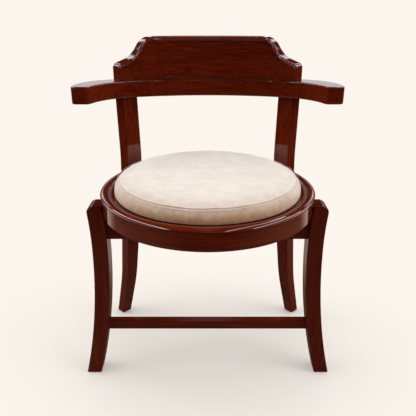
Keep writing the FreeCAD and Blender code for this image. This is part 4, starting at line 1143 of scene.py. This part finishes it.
def mirrored_lights(tree, x, y, z):
    """Strength of the strips and panels in a direction."""
    sideways = math_node(tree, "ABSOLUTE", x)
    low = one_minus(tree, rise(tree, z, *HORIZON_TOP))
    low = times(tree, low, rise(tree, z, *HORIZON_BOTTOM))
    horizon = times(tree, rise(tree, y, *HORIZON_START), low)
    middle = between_levels(tree, x, -MIDDLE_HALF, MIDDLE_HALF)
    middle = plus(tree, times(tree, middle, MIDDLE_LEVEL), HORIZON_LEVEL)
    total = times(tree, horizon, middle)
    above = rise(tree, z, *CEILING_START)
    for first, last, strength in CEILING_STRIPS:
        panel = times(tree, above, between_levels(tree, x, first, last))
        total = plus(tree, total, times(tree, panel, strength))
    corner = rise(tree, y, *CORNER_START)
    corner = times(tree, corner, between_levels(tree, z, *CORNER_HEIGHT))
    corner = times(tree, corner, between_levels(tree, sideways, *CORNER_WIDTH))
    total = plus(tree, total, times(tree, corner, CORNER_LEVEL))
    side = rise(tree, sideways, *SIDE_START)
    side = times(tree, side, between_levels(tree, z, *SIDE_HEIGHT))
    total = plus(tree, total, times(tree, side, SIDE_LEVEL))
    return plus(tree, total, LEAST_LEVEL)


def make_world():
    """Soft light from above and behind, and strips of it that the lacquer mirrors."""
    world = bpy.data.worlds.new("studio")
    bpy.context.scene.world = world
    world.use_nodes = True
    tree = world.node_tree
    tree.nodes.clear()
    output = tree.nodes.new("ShaderNodeOutputWorld")
    background = tree.nodes.new("ShaderNodeBackground")
    tree.links.new(background.outputs["Background"], output.inputs["Surface"])
    path = tree.nodes.new("ShaderNodeLightPath")
    x, y, z = split(tree, tree.nodes.new("ShaderNodeTexCoord").outputs["Generated"])

    along_x, along_y, along_z = SKY_GROWTH
    share = plus(tree, times(tree, z, along_z), times(tree, y, along_y))
    share = plus(tree, plus(tree, share, times(tree, x, along_x)), SKY_SHARE)
    level = ramp(tree, share, [(0.0, SKY_DARK), (1.0, SKY_BRIGHT)])
    light = mix_colour(tree, 1.0, level, SKY_TINT, "MULTIPLY")
    strips = mirrored_lights(tree, x, y, z)
    mirrored = mix_colour(tree, 1.0, strips, STRIP_TINT, "MULTIPLY")
    lit = mix_colour(tree, path.outputs["Is Glossy Ray"], light, mirrored)
    shown = mix_colour(tree, path.outputs["Is Camera Ray"], lit, BACKGROUND)
    tree.links.new(shown, background.inputs["Color"])


def add_sun(name, strength, spread, elevation, azimuth):
    """Far soft lamp that isn't mirrored. Azimuth 0 is behind the camera, 90 on the right."""
    lamp = bpy.data.lights.new(name, "SUN")
    lamp.energy = strength
    lamp.angle = math.radians(spread)
    holder = bpy.data.objects.new(name, lamp)
    bpy.context.scene.collection.objects.link(holder)
    up, around = math.radians(elevation), math.radians(azimuth)
    source = Vector((math.cos(up) * math.sin(around), -math.cos(up) * math.cos(around),
                     math.sin(up)))
    holder.rotation_euler = source.to_track_quat("Z", "Y").to_euler()
    holder.visible_glossy = False


make_world()
add_sun("overhead", strength=0.32, spread=70.0, elevation=80.0, azimuth=0.0)
add_sun("left", strength=1.90, spread=50.0, elevation=20.0, azimuth=-90.0)
add_sun("right", strength=2.15, spread=50.0, elevation=20.0, azimuth=76.0)

scene = bpy.context.scene
scene.view_settings.view_transform = "Standard"
camera_data = bpy.data.cameras.new("camera")
camera_data.lens = LENS
camera_data.sensor_width = SENSOR
camera = bpy.data.objects.new("camera", camera_data)
scene.collection.objects.link(camera)
camera.location = (CAMERA_SIDE, SEAT_Y - CAMERA_BACK, CAMERA_HEIGHT)
camera.rotation_euler = (math.radians(CAMERA_PITCH), 0.0, 0.0)
scene.camera = camera
